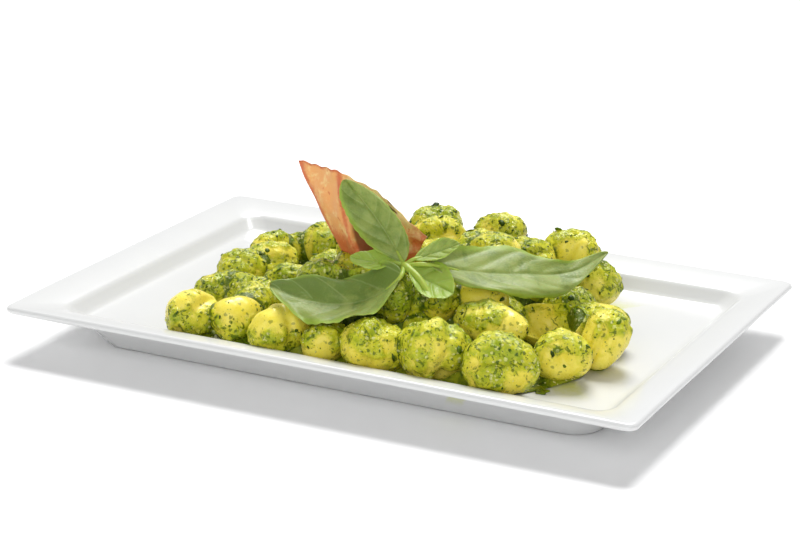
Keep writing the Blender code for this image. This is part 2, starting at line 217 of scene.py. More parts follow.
def tube(route: np.ndarray, radii: np.ndarray, sides: int = 16) -> Surface:
    """A round closed tube along a route: rings square to it, with half-round ends.

    Args:
        route: places, N by 3.
        radii: the radius at each place.
        sides: points round a ring.
    """
    along = unit(np.gradient(route, axis=0))
    across = unit(np.cross(along, np.array([0.3, 0.2, 1.0])))
    other = np.cross(along, across)
    turn = np.linspace(0, FULL_TURN, sides, endpoint=False)
    ring = across[:, None] * np.cos(turn)[None, :, None] + other[:, None] * np.sin(turn)[None, :, None]
    rings = route[:, None] + ring * radii[:, None, None]
    bulge = 0.6
    first = route[0] - along[0] * radii[0] * bulge
    last = route[-1] + along[-1] * radii[-1] * bulge
    return capped_tube(rings, first, last)


def smooth_route(stops: np.ndarray, count: int) -> np.ndarray:
    """Places along a smooth curve through the stops, by the Catmull-Rom formula."""
    padded = np.concatenate([2 * stops[:1] - stops[1:2], stops, 2 * stops[-1:] - stops[-2:-1]])
    where = np.linspace(0, len(stops) - 1 - 1e-9, count)
    i = where.astype(int)
    u = (where - i)[:, None]
    a, b, c, d = (padded[i + k] for k in range(4))
    bent = (2 * a - 5 * b + 4 * c - d) * u**2
    swung = (3 * b - a - 3 * c + d) * u**3
    return 0.5 * (2 * b + (c - a) * u + bent + swung)


# ------------------------------------------------------------------ shader kit


class Value:
    """A number that varies over a surface: a shader socket on which Python's operators add Math nodes."""

    def __init__(self, book: "Finish", socket: bpy.types.NodeSocket) -> None:
        """Wraps the socket."""
        self.book = book
        self.socket = socket

    def _math(self, operation: str, first: object, second: object) -> "Value":
        """One Math node on two values."""
        made = self.book.node("ShaderNodeMath", {"operation": operation}, {0: first, 1: second})
        return Value(self.book, made[0])

    def __add__(self, other: object) -> "Value":
        """self + other."""
        return self._math("ADD", self, other)

    def __sub__(self, other: object) -> "Value":
        """self - other."""
        return self._math("SUBTRACT", self, other)

    def __rsub__(self, other: object) -> "Value":
        """other - self."""
        return self._math("SUBTRACT", other, self)

    def __mul__(self, other: object) -> "Value":
        """self * other."""
        return self._math("MULTIPLY", self, other)

    __radd__ = __add__
    __rmul__ = __mul__

    def highest(self, other: object) -> "Value":
        """The larger of two values."""
        return self._math("MAXIMUM", self, other)

    def step(self, low: float, high: float) -> "Value":
        """0 below low, 1 above high, and a smooth S between them."""
        settings = {"interpolation_type": "SMOOTHSTEP"}
        inputs = {"Value": self, "From Min": low, "From Max": high}
        return Value(self.book, self.book.node("ShaderNodeMapRange", settings, inputs)[0])


class Finish:
    """A procedural material in the making."""

    def __init__(self, name: str, **fixed: object) -> None:
        """Starts a material on a Principled shader.

        Args:
            name: the material's name.
            fixed: shader sockets that are the same all over, with underscores for spaces.
        """
        self.material = bpy.data.materials.new(name)
        self.material.use_nodes = True
        self.tree = self.material.node_tree
        self.shader = self.tree.nodes["Principled BSDF"]
        for socket, value in fixed.items():
            self.shader.inputs[socket.replace("_", " ")].default_value = value
        self.places = self.node("ShaderNodeTexCoord", {}, {})["Object"]
        self.shaken: dict[float, bpy.types.NodeSocket] = {}

    def node(self, kind: str, settings: dict, inputs: dict) -> bpy.types.bpy_prop_collection:
        """Adds a node.

        Args:
            kind: the node's type.
            settings: its properties, set before its sockets.
            inputs: socket name or number to a plain value, a Value, or a socket to link.

        Returns:
            The node's outputs.
        """
        made = self.tree.nodes.new(kind)
        for key, value in settings.items():
            setattr(made, key, value)
        for key, value in inputs.items():
            source = value.socket if isinstance(value, Value) else value
            if isinstance(source, bpy.types.NodeSocket):
                self.tree.links.new(source, made.inputs[key])
            else:
                made.inputs[key].default_value = source
        return made.outputs

    def mark(self, name: str) -> Value:
        """A number kept at the surface's points."""
        return Value(self, self.node("ShaderNodeAttribute", {"attribute_name": name}, {})["Fac"])

    def noise(self, size: float, detail: float = 2.0, roughness: float = 0.55, warp: float = 0.0) -> Value:
        """Cloudy noise whose blots are about size across, in metres."""
        inputs = {"Vector": self.places, "Scale": 1 / size, "Detail": detail, "Roughness": roughness}
        return Value(self, self.node("ShaderNodeTexNoise", {}, {**inputs, "Distortion": warp})[0])

    def warped(self, size: float) -> bpy.types.NodeSocket:
        """The places, each shifted by up to about half of size, so that what reads them gets ragged edges."""
        if size not in self.shaken:
            blots = {"Vector": self.places, "Scale": 1.3 / size, "Detail": 2.0}
            drift = self.node("ShaderNodeTexNoise", {}, blots)
            settings = {"operation": "MULTIPLY_ADD"}
            inputs = {0: drift["Color"], 1: (size, size, size), 2: self.places}
            self.shaken[size] = self.node("ShaderNodeVectorMath", settings, inputs)[0]
        return self.shaken[size]

    def specks(self, size: float, share: float, width: float = 0.32) -> Value:
        """Separate ragged spots about size apart.

        Args:
            size: distance between neighbouring spots, in metres.
            share: the share of them that is there at all.
            width: the radius of a spot, as a share of size.
        """
        inputs = {"Vector": self.warped(size), "Scale": 1 / size}
        cells = self.node("ShaderNodeTexVoronoi", {}, inputs)
        chosen = self.node("ShaderNodeSeparateColor", {}, {0: cells["Color"]})[0]
        cut, blur = 1 - share, 0.01
        there = Value(self, chosen).step(cut - blur, cut + blur)
        near = 1 - Value(self, cells["Distance"]).step(width * 0.7, width * 1.2)
        return near * there

    def blend(self, share: Value, first: object, second: object) -> bpy.types.NodeSocket:
        """A colour between two, first at share 0 and second at 1."""
        settings = {"data_type": "RGBA"}
        inputs = {0: share, 6: self.colour(first), 7: self.colour(second)}
        return self.node("ShaderNodeMix", settings, inputs)[2]

    @staticmethod
    def colour(value: object) -> object:
        """A colour for a socket: three numbers get their alpha, and a link passes."""
        return (*value, 1.0) if isinstance(value, tuple) and len(value) == 3 else value

    def paint(self, colour: object, roughness: Value | None = None) -> "Finish":
        """Gives the shader its colour and roughness."""
        self.tree.links.new(colour, self.shader.inputs["Base Color"])
        if roughness is not None:
            self.tree.links.new(roughness.socket, self.shader.inputs["Roughness"])
        return self

    def relief(self, height: Value, depth: float, strength: float = 1.0) -> "Finish":
        """Adds a bump: height 0 to 1 stands for depth metres."""
        inputs = {"Strength": strength, "Distance": depth, "Height": height}
        self.tree.links.new(self.node("ShaderNodeBump", {}, inputs)[0], self.shader.inputs["Normal"])
        return self


@dataclass(frozen=True)
class Porcelain:
    """White glazed porcelain, with a thin film of green oil where sauce has been."""

    white: tuple = (0.700, 0.703, 0.695)
    cool: tuple = (0.678, 0.685, 0.688)
    oil: tuple = (0.58, 0.62, 0.14)

    def material(self) -> bpy.types.Material:
        """The finish as a material."""
        f = Finish("porcelain", Roughness=0.12, Coat_Weight=0.1, Coat_Roughness=0.12, IOR=1.5)
        glaze = f.blend(f.noise(60 * MM, 2), self.white, self.cool)
        wet = f.mark("oil") * (0.6 + 0.8 * f.noise(3 * MM, 3))
        body = f.blend(wet.step(0.25, 0.9) * 0.75, glaze, self.oil)
        shine = 0.17 + 0.08 * f.noise(25 * MM, 2) + 0.05 * f.noise(2 * MM, 2)
        return f.paint(body, shine).relief(f.noise(35 * MM, 1), 0.25 * MM, 0.5).material


@dataclass(frozen=True)
class PestoDough:
    """Soft potato dough under a broken coat of oily pesto, with painted shade in the cracks, at the feet and
    in the curled hollow.
    """

    dough: tuple = (0.95, 0.83, 0.16)
    # Darker, deeper yellow dough: its own tone at random, and painted shade in the cracks and the curled
    # hollow.
    dough_deep_and_shade: tuple = (0.76, 0.64, 0.015)
    film: tuple = (0.66, 0.65, 0.018)
    film_green: tuple = (0.27, 0.37, 0.006)
    thick: tuple = (0.125, 0.190, 0.005)
    thick_dark: tuple = (0.045, 0.085, 0.002)
    herb: tuple = (0.028, 0.090, 0.004)
    nut: tuple = (0.88, 0.87, 0.36)

    def material(self) -> bpy.types.Material:
        """The finish as a material."""
        f = Finish("pesto_dough", Subsurface_Weight=0.2, Subsurface_Scale=2.5 * MM, Specular_IOR_Level=0.28)
        f.shader.inputs["Subsurface Radius"].default_value = (1.0, 0.8, 0.15)
        coat = f.mark("coat")
        crevice_pesto_and_shade = f.mark("crevice_pesto_and_shade")
        broken = f.noise(1.5 * MM, 3, 0.6)
        cloud = f.noise(6 * MM, 3, 0.6, 0.6)
        fine = f.noise(0.7 * MM, 2)
        # Tone and cloud darken the dough at random; the crack term adds painted shade in the cracks, at the
        # feet and in the hollow.
        depth = f.mark("tone") * 0.3 + 1.3 * (cloud - 0.35) + 0.8 * crevice_pesto_and_shade
        bare = f.blend(depth, self.dough, self.dough_deep_and_shade)
        covered = (coat + 0.22 * (broken - 0.5)).step(0.36, 0.58)
        greener = (1.2 * cloud + 0.8 * coat - 0.75 + 0.5 * (broken - 0.5)).step(0.05, 0.70)
        veil = f.blend(greener, self.film, self.film_green)
        skin = f.blend(covered * (0.55 + 0.6 * cloud), bare, veil)
        deep = f.blend(f.noise(2.2 * MM, 3), self.thick, self.thick_dark)
        # Thick dark pesto where the noise and the coat put it, and in the cracks, where the darkening is
        # partly painted shade.
        heavy_pesto_and_shade = (1.15 * crevice_pesto_and_shade + 1.1 * (cloud - 0.5) + 0.5 * (broken - 0.5) + 0.25 * coat).step(0.55, 0.90)
        skin = f.blend(heavy_pesto_and_shade * 0.94, skin, deep)
        clots = (f.noise(3.4 * MM, 3, 0.65, 1.2) + 0.14 * coat).step(0.66, 0.72) * coat.step(0.25, 0.50)
        skin = f.blend(clots * 0.9, skin, self.thick)
        crumbs = f.specks(2.0 * MM, 0.40, 0.40) * (coat + 1.1 * (cloud - 0.5)).step(0.45, 0.75)
        skin = f.blend(crumbs * 0.55, skin, self.nut)
        flecks = f.specks(0.9 * MM, 0.07, 0.34).highest(f.specks(2.3 * MM, 0.24, 0.36))
        skin = f.blend(flecks * (0.40 + 0.5 * coat), skin, self.herb)
        shine = 0.27 - 0.10 * covered + 0.22 * (fine - 0.5) + 0.15 * heavy_pesto_and_shade
        height = covered * (0.25 + 0.5 * fine) + 0.5 * broken * covered + 0.5 * crumbs
        height = height + 0.5 * clots + 0.1 * cloud
        return f.paint(skin, shine).relief(height, 0.7 * MM, 0.9).material


@dataclass(frozen=True)
class Pesto:
    """Thick basil pesto lying between the gnocchi."""

    oil: tuple = (0.30, 0.34, 0.012)
    mash: tuple = (0.135, 0.200, 0.005)
    dark: tuple = (0.040, 0.075, 0.002)
    nut: tuple = (0.80, 0.77, 0.36)

    def material(self) -> bpy.types.Material:
        """The finish as a material."""
        f = Finish("pesto", Subsurface_Weight=0.08, Subsurface_Scale=1.5 * MM, Specular_IOR_Level=0.2)
        clots = f.noise(3.2 * MM, 4, 0.65, 0.5)
        fine = f.noise(0.9 * MM, 2)
        body = f.blend((clots + 0.3 * (fine - 0.5)).step(0.36, 0.62), self.dark, self.mash)
        oily = (f.noise(5 * MM, 3, 0.6, 0.6) + 0.22 * f.mark("thin")).step(0.52, 0.75)
        body = f.blend(oily, body, self.oil)
        body = f.blend(f.specks(1.7 * MM, 0.22, 0.28) * 0.8, body, self.nut)
        shine = 0.28 + 0.25 * fine
        return f.paint(body, shine).relief(clots + 0.5 * fine, 0.9 * MM, 0.8).material


@dataclass(frozen=True)
class Bits:
    """Chopped herb or grated nut: a colour range with a little shine."""

    name: str
    dark: tuple
    light: tuple
    gloss: float = 0.42

    def material(self) -> bpy.types.Material:
        """The finish as a material."""
        f = Finish(self.name, Specular_IOR_Level=0.2)
        body = f.blend(f.mark("tone") + 0.4 * (f.noise(0.5 * MM, 2) - 0.5), self.dark, self.light)
        shine = self.gloss + 0.2 * (f.noise(0.4 * MM, 1) - 0.5)
        return f.paint(body, shine).relief(f.noise(0.3 * MM, 2), 0.15 * MM, 0.6).material


@dataclass(frozen=True)
class BasilSkin:
    """A basil leaf: glossy green above with pale veins, lighter and duller below."""

    top: tuple = (0.260, 0.325, 0.070)
    top_dark: tuple = (0.115, 0.180, 0.022)
    under: tuple = (0.40, 0.50, 0.16)
    vein: tuple = (0.38, 0.47, 0.17)
    edge: tuple = (0.30, 0.44, 0.035)
    cells_per_metre: float = 620.0

    def material(self) -> bpy.types.Material:
        """The finish as a material."""
        f = Finish("basil_skin", Subsurface_Weight=0.12, Subsurface_Scale=1.0 * MM, Specular_IOR_Level=0.45)
        cloud = f.noise(8 * MM, 3, 0.6, 0.5)
        fine = f.noise(0.8 * MM, 3)
        # Cloudy mottle darkens the top at random, and the shade mark adds painted shade on one half of the
        # blade.
        shade = cloud + 0.25 * (fine - 0.5) + 0.35 * f.mark("shade") - 0.10
        green = f.blend(shade.step(0.30, 0.72), self.top, self.top_dark)
        green = f.blend(f.mark("rim").step(0.72, 1.0) * 0.8, green, self.edge)
        green = f.blend(f.mark("young") * (0.55 + 0.5 * cloud), green, self.edge)
        green = f.blend(f.mark("vein").step(0.30, 1.0) * 0.30, green, self.vein)
        pale = f.blend((fine * 0.6 + cloud * 0.5).step(0.4, 0.8), self.under, self.edge)
        body = f.blend(f.mark("under"), green, pale)
        shine = 0.38 + 0.18 * fine + 0.12 * f.mark("under")
        inputs = {"Vector": f.places, "Scale": self.cells_per_metre}
        net = f.node("ShaderNodeTexVoronoi", {"feature": "DISTANCE_TO_EDGE"}, inputs)
        cells = Value(f, net[0]).step(0.0, 0.12)
        return f.paint(body, shine).relief(cells * 0.5 + 0.5 * fine, 0.12 * MM, 0.7).material


@dataclass(frozen=True)
class StemSkin:
    """The tender stem: bright yellow-green."""

    light: tuple = (0.44, 0.54, 0.07)
    green: tuple = (0.24, 0.36, 0.025)

    def material(self) -> bpy.types.Material:
        """The finish as a material."""
        f = Finish("stem_skin", Subsurface_Weight=0.2, Subsurface_Scale=1.5 * MM)
        body = f.blend(f.noise(3 * MM, 3), self.light, self.green)
        shine = 0.38 + 0.15 * f.noise(1 * MM, 2)
        return f.paint(body, shine).relief(f.noise(0.6 * MM, 2), 0.12 * MM, 0.6).material


@dataclass(frozen=True)
class CrispSkin:
    """Dried tomato: cream and orange with red edges and veins, and painted shadow in dark red inside the
    fold.
    """

    cream: tuple = (0.90, 0.66, 0.28)
    orange: tuple = (0.84, 0.40, 0.13)
    red: tuple = (0.62, 0.115, 0.030)
    # Painted shadow inside the fold.
    dark: tuple = (0.22, 0.055, 0.010)

    def material(self) -> bpy.types.Material:
        """The finish as a material."""
        f = Finish("crisp_skin", Subsurface_Weight=0.15, Subsurface_Scale=1.5 * MM)
        cloud = f.noise(7 * MM, 4, 0.6, 0.8)
        fine = f.noise(1.3 * MM, 3)
        # The cream mark lightens the top strip of the part beyond the fold: partly its cream colour, partly
        # painted light.
        pale = (cloud + 0.35 * (fine - 0.5) - 0.35 * (f.mark("cream") - 0.4)).step(0.34, 0.66)
        body = f.blend(pale, self.cream, self.orange)
        body = f.blend(f.specks(3.0 * MM, 0.35, 0.26) * 0.6, body, self.red)
        reddening = (f.mark("rim") + 0.55 * (cloud - 0.5) + 0.4 * (fine - 0.5)).step(0.45, 0.95)
        body = f.blend(reddening * 0.85, body, self.red)
        # Painted shadow: the inside mark darkens the part of the sheet beyond the fold.
        body = f.blend(f.mark("inside").step(0.2, 0.9) * 0.9, body, self.dark)
        shine = 0.42 + 0.2 * fine
        return f.paint(body, shine).relief(fine + cloud, 0.35 * MM, 0.8).material


# ------------------------------------------------------------------ plate


@dataclass
class Plate:
    """The rectangular plate: a wide rim, a shallow well and a low foot."""

    finish: Porcelain = field(default_factory=Porcelain)
    corner_points: int = 14
    side_points: int = 46
    sag: float = 0.25 * MM

    def size(self) -> tuple[float, float, float]:
        """Length, width and height of the plate, from its solid."""
        low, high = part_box("plate")
        return tuple(high[i] - low[i] for i in range(3))

    def upper_section(self) -> np.ndarray:
        """The section from the rim to the middle of the well: rows of inset, height and corner radius."""
        rim_edge = self.size()[2] - RIM_DROP
        wall_foot = RIM_WIDTH + WALL_RUN
        return np.array([
            (RIM_WIDTH - 3 * MM, rim_edge + 0.5 * MM, WELL_CORNER),
            (RIM_WIDTH - 1 * MM, rim_edge + 0.05 * MM, WELL_CORNER),
            (RIM_WIDTH + 0.6 * MM, rim_edge - 0.7 * MM, WELL_CORNER),
            (RIM_WIDTH + 1.6 * MM, rim_edge - 1.9 * MM, WELL_CORNER),
            (wall_foot - 1.8 * MM, WELL_FLOOR + 2.0 * MM, WELL_CORNER),
            (wall_foot - 0.4 * MM, WELL_FLOOR + 0.75 * MM, WELL_CORNER),
            (wall_foot + 1.4 * MM, WELL_FLOOR + 0.15 * MM, 8 * MM),
            (wall_foot + 4 * MM, WELL_FLOOR, 8 * MM),
            (wall_foot + 30 * MM, WELL_FLOOR - 0.15 * MM, 5 * MM),
        ])

    def section(self) -> np.ndarray:
        """The plate's section from under its middle, round the lip, to the middle of the well.

        Returns:
            Rows of inset from the outline, height, and corner radius in plan.
        """
        height = self.size()[2]
        under_lip = height - LIP_THICKNESS
        under_rim = height - RIM_DROP - LIP_THICKNESS
        foot_in = FOOT_INSET + FOOT_RING
        lip = LIP_THICKNESS / 2
        turn = np.radians(np.linspace(-90, 90, 13))
        heights = under_lip + lip + lip * np.sin(turn)
        rolled = np.stack([lip * (1 - np.cos(turn)), heights, 0 * turn + 4.5 * MM], axis=1)
        under = np.array([
            (foot_in + 30 * MM, RECESS, 5 * MM),
            (foot_in + 4 * MM, RECESS, 9 * MM),
            (foot_in + 1.5 * MM, RECESS * 0.7, 9 * MM),
            (foot_in, 0.8 * MM, 10 * MM),
            (foot_in - 0.8 * MM, 0.1 * MM, 10 * MM),
            (foot_in - 1.6 * MM, 0.0, 11 * MM),
            (FOOT_INSET + 1.4 * MM, 0.0, 12 * MM),
            (FOOT_INSET + 0.6 * MM, 0.1 * MM, 13 * MM),
            (FOOT_INSET, 0.8 * MM, 14 * MM),
            (RIM_WIDTH + 3.5 * MM, under_rim - 2.6 * MM, 13 * MM),
            (RIM_WIDTH + 1.2 * MM, under_rim - 0.8 * MM, 12 * MM),
            (RIM_WIDTH - 1.5 * MM, under_rim, 12 * MM),
        ])
        return np.concatenate([under, rolled, self.upper_section()])

    def outline(self, inset: float, radius: float) -> np.ndarray:
        """A rounded rectangle at an inset: quarter circles joined by straight runs of even points."""
        length, width, _ = self.size()
        half = np.array([length / 2 - inset - radius, width / 2 - inset - radius])
        signs = np.array([(1, 1), (-1, 1), (-1, -1), (1, -1)])
        runs = []
        for quarter in range(4):
            turn = np.pi / 2 * (quarter + np.linspace(0, 1, self.corner_points))
            arc = signs[quarter] * half + radius * np.stack([np.cos(turn), np.sin(turn)], axis=1)
            after = signs[(quarter + 1) % 4] * half
            end = np.pi / 2 * (quarter + 1)
            after = after + radius * np.array([np.cos(end), np.sin(end)])
            share = np.linspace(0, 1, self.side_points + 2)[1:-1, None]
            runs += [arc, arc[-1] * (1 - share) + after * share]
        return np.concatenate(runs)

    def top(self, spots: np.ndarray) -> np.ndarray:
        """Height of the plate's upper surface at each spot, read off the section by its inset."""
        length, width, _ = self.size()
        reach = np.abs(spots[:, :2]) - (np.array([length, width]) / 2 - WELL_CORNER)
        outside = np.linalg.norm(np.maximum(reach, 0), axis=1) + np.minimum(reach.max(axis=1), 0)
        section = self.upper_section()
        return np.interp(WELL_CORNER - outside, section[:, 0], section[:, 1])

    def build(self, stains: np.ndarray) -> None:
        """Makes the plate, whose long sides sag by a hair's breadth, as fired porcelain does.

        Args:
            stains: rows of x, y and radius where oil has run out on the plate.
        """
        rings = []
        for inset, height, radius in self.section():
            flat = self.outline(inset, radius)
            rings.append(np.column_stack([flat, np.full(len(flat), height)]))
        rings = np.array(rings)
        wave = np.cos(rings[..., 0] * 18) * smooth_step(0.060, 0.103, np.abs(rings[..., 1]))
        on_rim = rings[..., 2] > WELL_FLOOR + 5 * MM
        rings[..., 2] += np.where(on_rim, self.sag * (wave - 1), 0.0)
        surface = capped_tube(rings, np.array([0, 0, RECESS]), np.array([0, 0, WELL_FLOOR - 0.2 * MM]))
        apart = np.linalg.norm(surface.points[:, None, :2] - stains[None, :, :2], axis=2)
        share = 1 - apart / stains[None, :, 2]
        above = surface.points[:, 2] - WELL_FLOOR
        inside = (above > -1 * MM) & (above < 6 * MM)
        surface.marks["oil"] = np.where(inside, np.clip(share.max(axis=1) * 2, 0, 1), 0.0)
        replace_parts(surface.piece("porcelain_plate", self.finish.material(), "plate"), "plate")


# ------------------------------------------------------------------ gnocchi


class Form(Enum):
    """How a gnocco is shaped."""

    PLUMP = auto()
    CREASED = auto()
    RIDGED = auto()
    DIMPLED = auto()
    CURLED = auto()
    KNOBBLY = auto()


@dataclass
class Gnocco:
    """One gnocco: where and how it lies, its size, its form and how much pesto clings to it.

    Places, length, width and sink, how far it is pressed down after it is laid, are in millimetres, turn
    about Z and tilt of the long axis in degrees. Lean puts more of the pesto on top, or below if negative.
    """

    x: float
    y: float
    turn: float
    tilt: float
    length: float
    width: float
    form: Form = Form.PLUMP
    coat: float = 0.5
    sink: float = 0.0
    lean: float = 0.22
    number: int = 0
    z: float = 0.0

    def axes(self) -> np.ndarray:
        """The gnocco's own three axes as columns: turned about Y by the tilt, then about Z by the turn."""
        tilt, turn = np.radians(self.tilt), np.radians(self.turn)
        lift = np.array([[np.cos(tilt), 0, -np.sin(tilt)], [0, 1, 0], [np.sin(tilt), 0, np.cos(tilt)]])
        swing = np.array([[np.cos(turn), -np.sin(turn), 0], [np.sin(turn), np.cos(turn), 0], [0, 0, 1]])
        return swing @ lift

    def balls(self) -> np.ndarray:
        """Middles of three balls along the gnocco that stand for it while it is laid, in metres."""
        reach = max(0.0, self.length - self.width) / 2
        place = np.array([self.x, self.y, self.z])
        return (place + self.axes()[:, 0] * reach * np.array([[-1], [0], [1]])) * MM

    def radius(self) -> float:
        """Half width in metres."""
        return self.width / 2 * MM

    def settle(self, laid: list["Gnocco"], nesting: float) -> None:
        """Lowers the gnocco until it touches the plate or a gnocco laid before it.

        Args:
            laid: those laid before it.
            nesting: how close soft pieces sit, as a share of the sum of their radii.
        """
        self.z = 0.0
        own = self.balls()
        radius = self.radius()
        height = np.max(WELL_FLOOR + 0.3 * MM + radius - own[:, 2])
        for other in laid:
            theirs = other.balls()
            apart = np.linalg.norm(own[:, None, :2] - theirs[None, :, :2], axis=2)
            touch = (radius + other.radius()) * nesting
            rise = np.sqrt(np.maximum(touch**2 - apart**2, 0))
            lift = theirs[None, :, 2] + rise - own[:, None, 2]
            height = max(height, np.max(np.where(apart < touch, lift, 0.0)))
        self.z = height / MM

    def shape(self, around: int, along: int) -> Surface:
        """The gnocco's surface.

        An oval turned about the long axis: half width times sin(v) to a power of 0.80 to 0.92 at the polar
        angle v. It is bent a little, flattened below, and given the creases, ridges or hollow of its form
        and soft lumps.

        Args:
            around: points round the long axis.
            along: rings from end to end.

        Returns:
            The surface, marked with the gnocco's tone and how deep in a curled hollow each point is, for the
            painted shade in the hollow.
        """
        chance = np.random.default_rng(1000 + self.number)
        axes = self.axes()
        half = self.length / 2 * MM
        radius = self.radius()
        v = np.linspace(0, np.pi, along + 2)[1:-1][:, None]
        u = np.linspace(0, FULL_TURN, around, endpoint=False)[None, :]
        facing = OPEN_SIDE if self.form is Form.CURLED else TOWARDS_DINER
        face = np.arctan2(axes[:, 2] @ facing, axes[:, 1] @ facing)
        off = (u - face + np.pi) % FULL_TURN - np.pi
        share = -np.cos(v)
        girth = np.sin(v) ** (0.80 + 0.12 * chance.random()) * (1 + 0.10 * chance.normal() * share)
        swell = np.ones((along, around)) + 0.035 * np.cos(2 * u + chance.random() * 6)
        swell = swell - self.hollows(share, off, chance)
        x = share * half * np.ones_like(u)
        y = np.cos(u) * girth * radius * swell
        z = np.sin(u) * girth * radius * swell
        bend = chance.normal() * 0.10 * radius
        y = y + bend * (share**2 - 0.4)
        # How deep in the curled hollow each point is; it only paints shade there.
        pit = np.zeros_like(swell)
        if self.form is Form.CURLED:
            y, z, pit = self.curl(share, face, y, z)
        local = np.stack([x, y, z], axis=-1)
        ends = np.array([[-half, 0.6 * bend, 0], [half, 0.6 * bend, 0]])
        surface = capped_tube(local, ends[0], ends[1])
        spot = surface.points + self.number * 0.137
        lumps = 0.12 * value_noise(spot, 11 * MM, 3) + 0.05 * layered_noise(spot, 5 * MM, 5, 2)
        if self.form is Form.KNOBBLY:
            lumps = lumps + 0.075 * value_noise(spot, 6 * MM, 9)
        surface.points = surface.points * (1 + lumps[:, None] * np.array([0.35, 1, 1]))
        surface.points = surface.points @ axes.T + np.array([self.x, self.y, self.z]) * MM
        low = WELL_FLOOR + 0.25 * MM
        depth = np.minimum(surface.points[:, 2] - low - 2.0 * MM, 0)
        surface.points[:, 2] = np.maximum(surface.points[:, 2] - 0.25 * depth, low)
        surface.marks["tone"] = np.full(len(surface.points), chance.random())
        surface.marks["pit"] = np.append(pit, [0, 0])
        return surface

    def hollows(self, share: np.ndarray, off: np.ndarray, chance: np.random.Generator) -> np.ndarray:
        """How much the form takes off the radius, as a share of it.

        Args:
            share: place along the axis, -1 to 1.
            off: angle round the axis from the side that faces the diner.
            chance: the gnocco's own random numbers.

        Returns:
            One share for each ring and angle.
        """
        drift = 0.35 * chance.normal()
        if self.form is Form.CREASED:
            across = np.exp(-(((off + 0.20 + drift * share) / 0.24) ** 2))
            return 0.24 * across * (1 - 0.5 * share**2)
        if self.form is Form.RIDGED:
            back = smooth_step(2.2, 1.2, np.abs(off - 0.5))
            return 0.09 * back * (0.5 + 0.5 * np.cos(share * 16 + 1.5 * np.sin(off)))
        if self.form is Form.DIMPLED:
            return 0.30 * np.exp(-((share + 0.1) ** 2 / 0.10 + (off - 0.1) ** 2 / 0.18))
        if self.form is Form.KNOBBLY:
            waist = np.exp(-(((share - 0.1 + 0.15 * off) / 0.17) ** 2))
            return 0.18 * waist * smooth_step(2.4, 1.0, np.abs(off))
        if self.form is Form.CURLED:
            return np.zeros(np.broadcast(share, off).shape)
        return 0.05 * np.exp(-(((share - drift) / 0.25) ** 2)) * smooth_step(2.0, 1.0, np.abs(off))

    def curl(self, share: np.ndarray, face: float, y: np.ndarray, z: np.ndarray) -> tuple[np.ndarray, ...]:
        """Presses the open side right in, so that the gnocco becomes a shell.

        The part of the outline past 0.35 of the radius is mirrored back to 1.25 of its height, and the
        hollow fades to nothing at the ends.

        Args:
            share: place along the axis, -1 to 1.
            face: angle round the axis of the open side.
            y: places across, on the gnocco's own axes.
            z: places up, on the gnocco's own axes.

        Returns:
            The pressed y and z, and how deep in the hollow each place is, 0 to 1.
        """
        radius = self.radius()
        across, up = np.cos(face), np.sin(face)
        past = np.maximum(y * across + z * up - 0.35 * radius, 0)
        inward = past * (1 + 1.25 * np.sqrt(1 - share**2))
        return y - inward * across, z - inward * up, past / (0.65 * radius)


F = Form
BOTTOM_COURSE = [
    Gnocco(-72, -70, 65, 0, 24, 21, F.CREASED, 0.50, 0, -0.25),
    Gnocco(-52, -64, 60, 10, 22, 18, F.PLUMP, 0.55, 0, -0.45),
    Gnocco(-25, -73, 55, 15, 29, 21, F.KNOBBLY, 0.52, 0, -0.38),
    Gnocco(-3, -73, 80, 0, 21, 18, F.PLUMP, 0.50),
    Gnocco(21, -74, 10, 0, 28, 23, F.KNOBBLY, 0.52),
    Gnocco(48, -69, 40, 0, 30, 26, F.KNOBBLY, 0.58),
    Gnocco(79, -73, 5, 0, 31, 25, F.CREASED, 0.52),
    Gnocco(96, -46, 25, 0, 24, 22, F.DIMPLED, 0.45),
    Gnocco(105, -23, 80, 45, 27, 20, F.CREASED, 0.38),
    Gnocco(94, -1, 30, 0, 25, 20, F.PLUMP, 0.40),
    Gnocco(76, -12, 5, 0, 28, 22, F.CURLED, 0.38),
    Gnocco(72, 16, 60, 0, 24, 20, F.KNOBBLY, 0.70),
    Gnocco(73, 50, 60, 0, 23, 21, F.PLUMP, 0.45),
    Gnocco(52, 66, 10, 0, 24, 19, F.CREASED, 0.50),
    Gnocco(32, 64, 10, 0, 23, 19, F.PLUMP, 0.55),
    Gnocco(1, 66, 60, 0, 24, 21, F.RIDGED, 0.50),
    Gnocco(-20, 60, -15, 0, 27, 21, F.CREASED, 0.45),
    Gnocco(-44, 52, 30, 0, 24, 20, F.PLUMP, 0.55),
    Gnocco(-64, 40, -30, 0, 25, 22, F.PLUMP, 0.48),
    Gnocco(-78, 38, 50, 0, 20, 16, F.PLUMP, 0.40),
    Gnocco(-86, 25, 60, 30, 22, 18, F.PLUMP, 0.38),
    Gnocco(-75, 8, 20, 10, 24, 20, F.CREASED, 0.50),
    Gnocco(-83, -7, 60, 0, 22, 19, F.PLUMP, 0.50),
    Gnocco(-77, -35, 70, 0, 24, 18, F.KNOBBLY, 0.60),
    Gnocco(-64, -33, 30, 0, 22, 18, F.KNOBBLY, 0.56),
    Gnocco(-52, -46, 75, 0, 24, 20, F.KNOBBLY, 0.58),
    Gnocco(-50, -19, 20, 15, 25, 20, F.CREASED, 0.55),
]
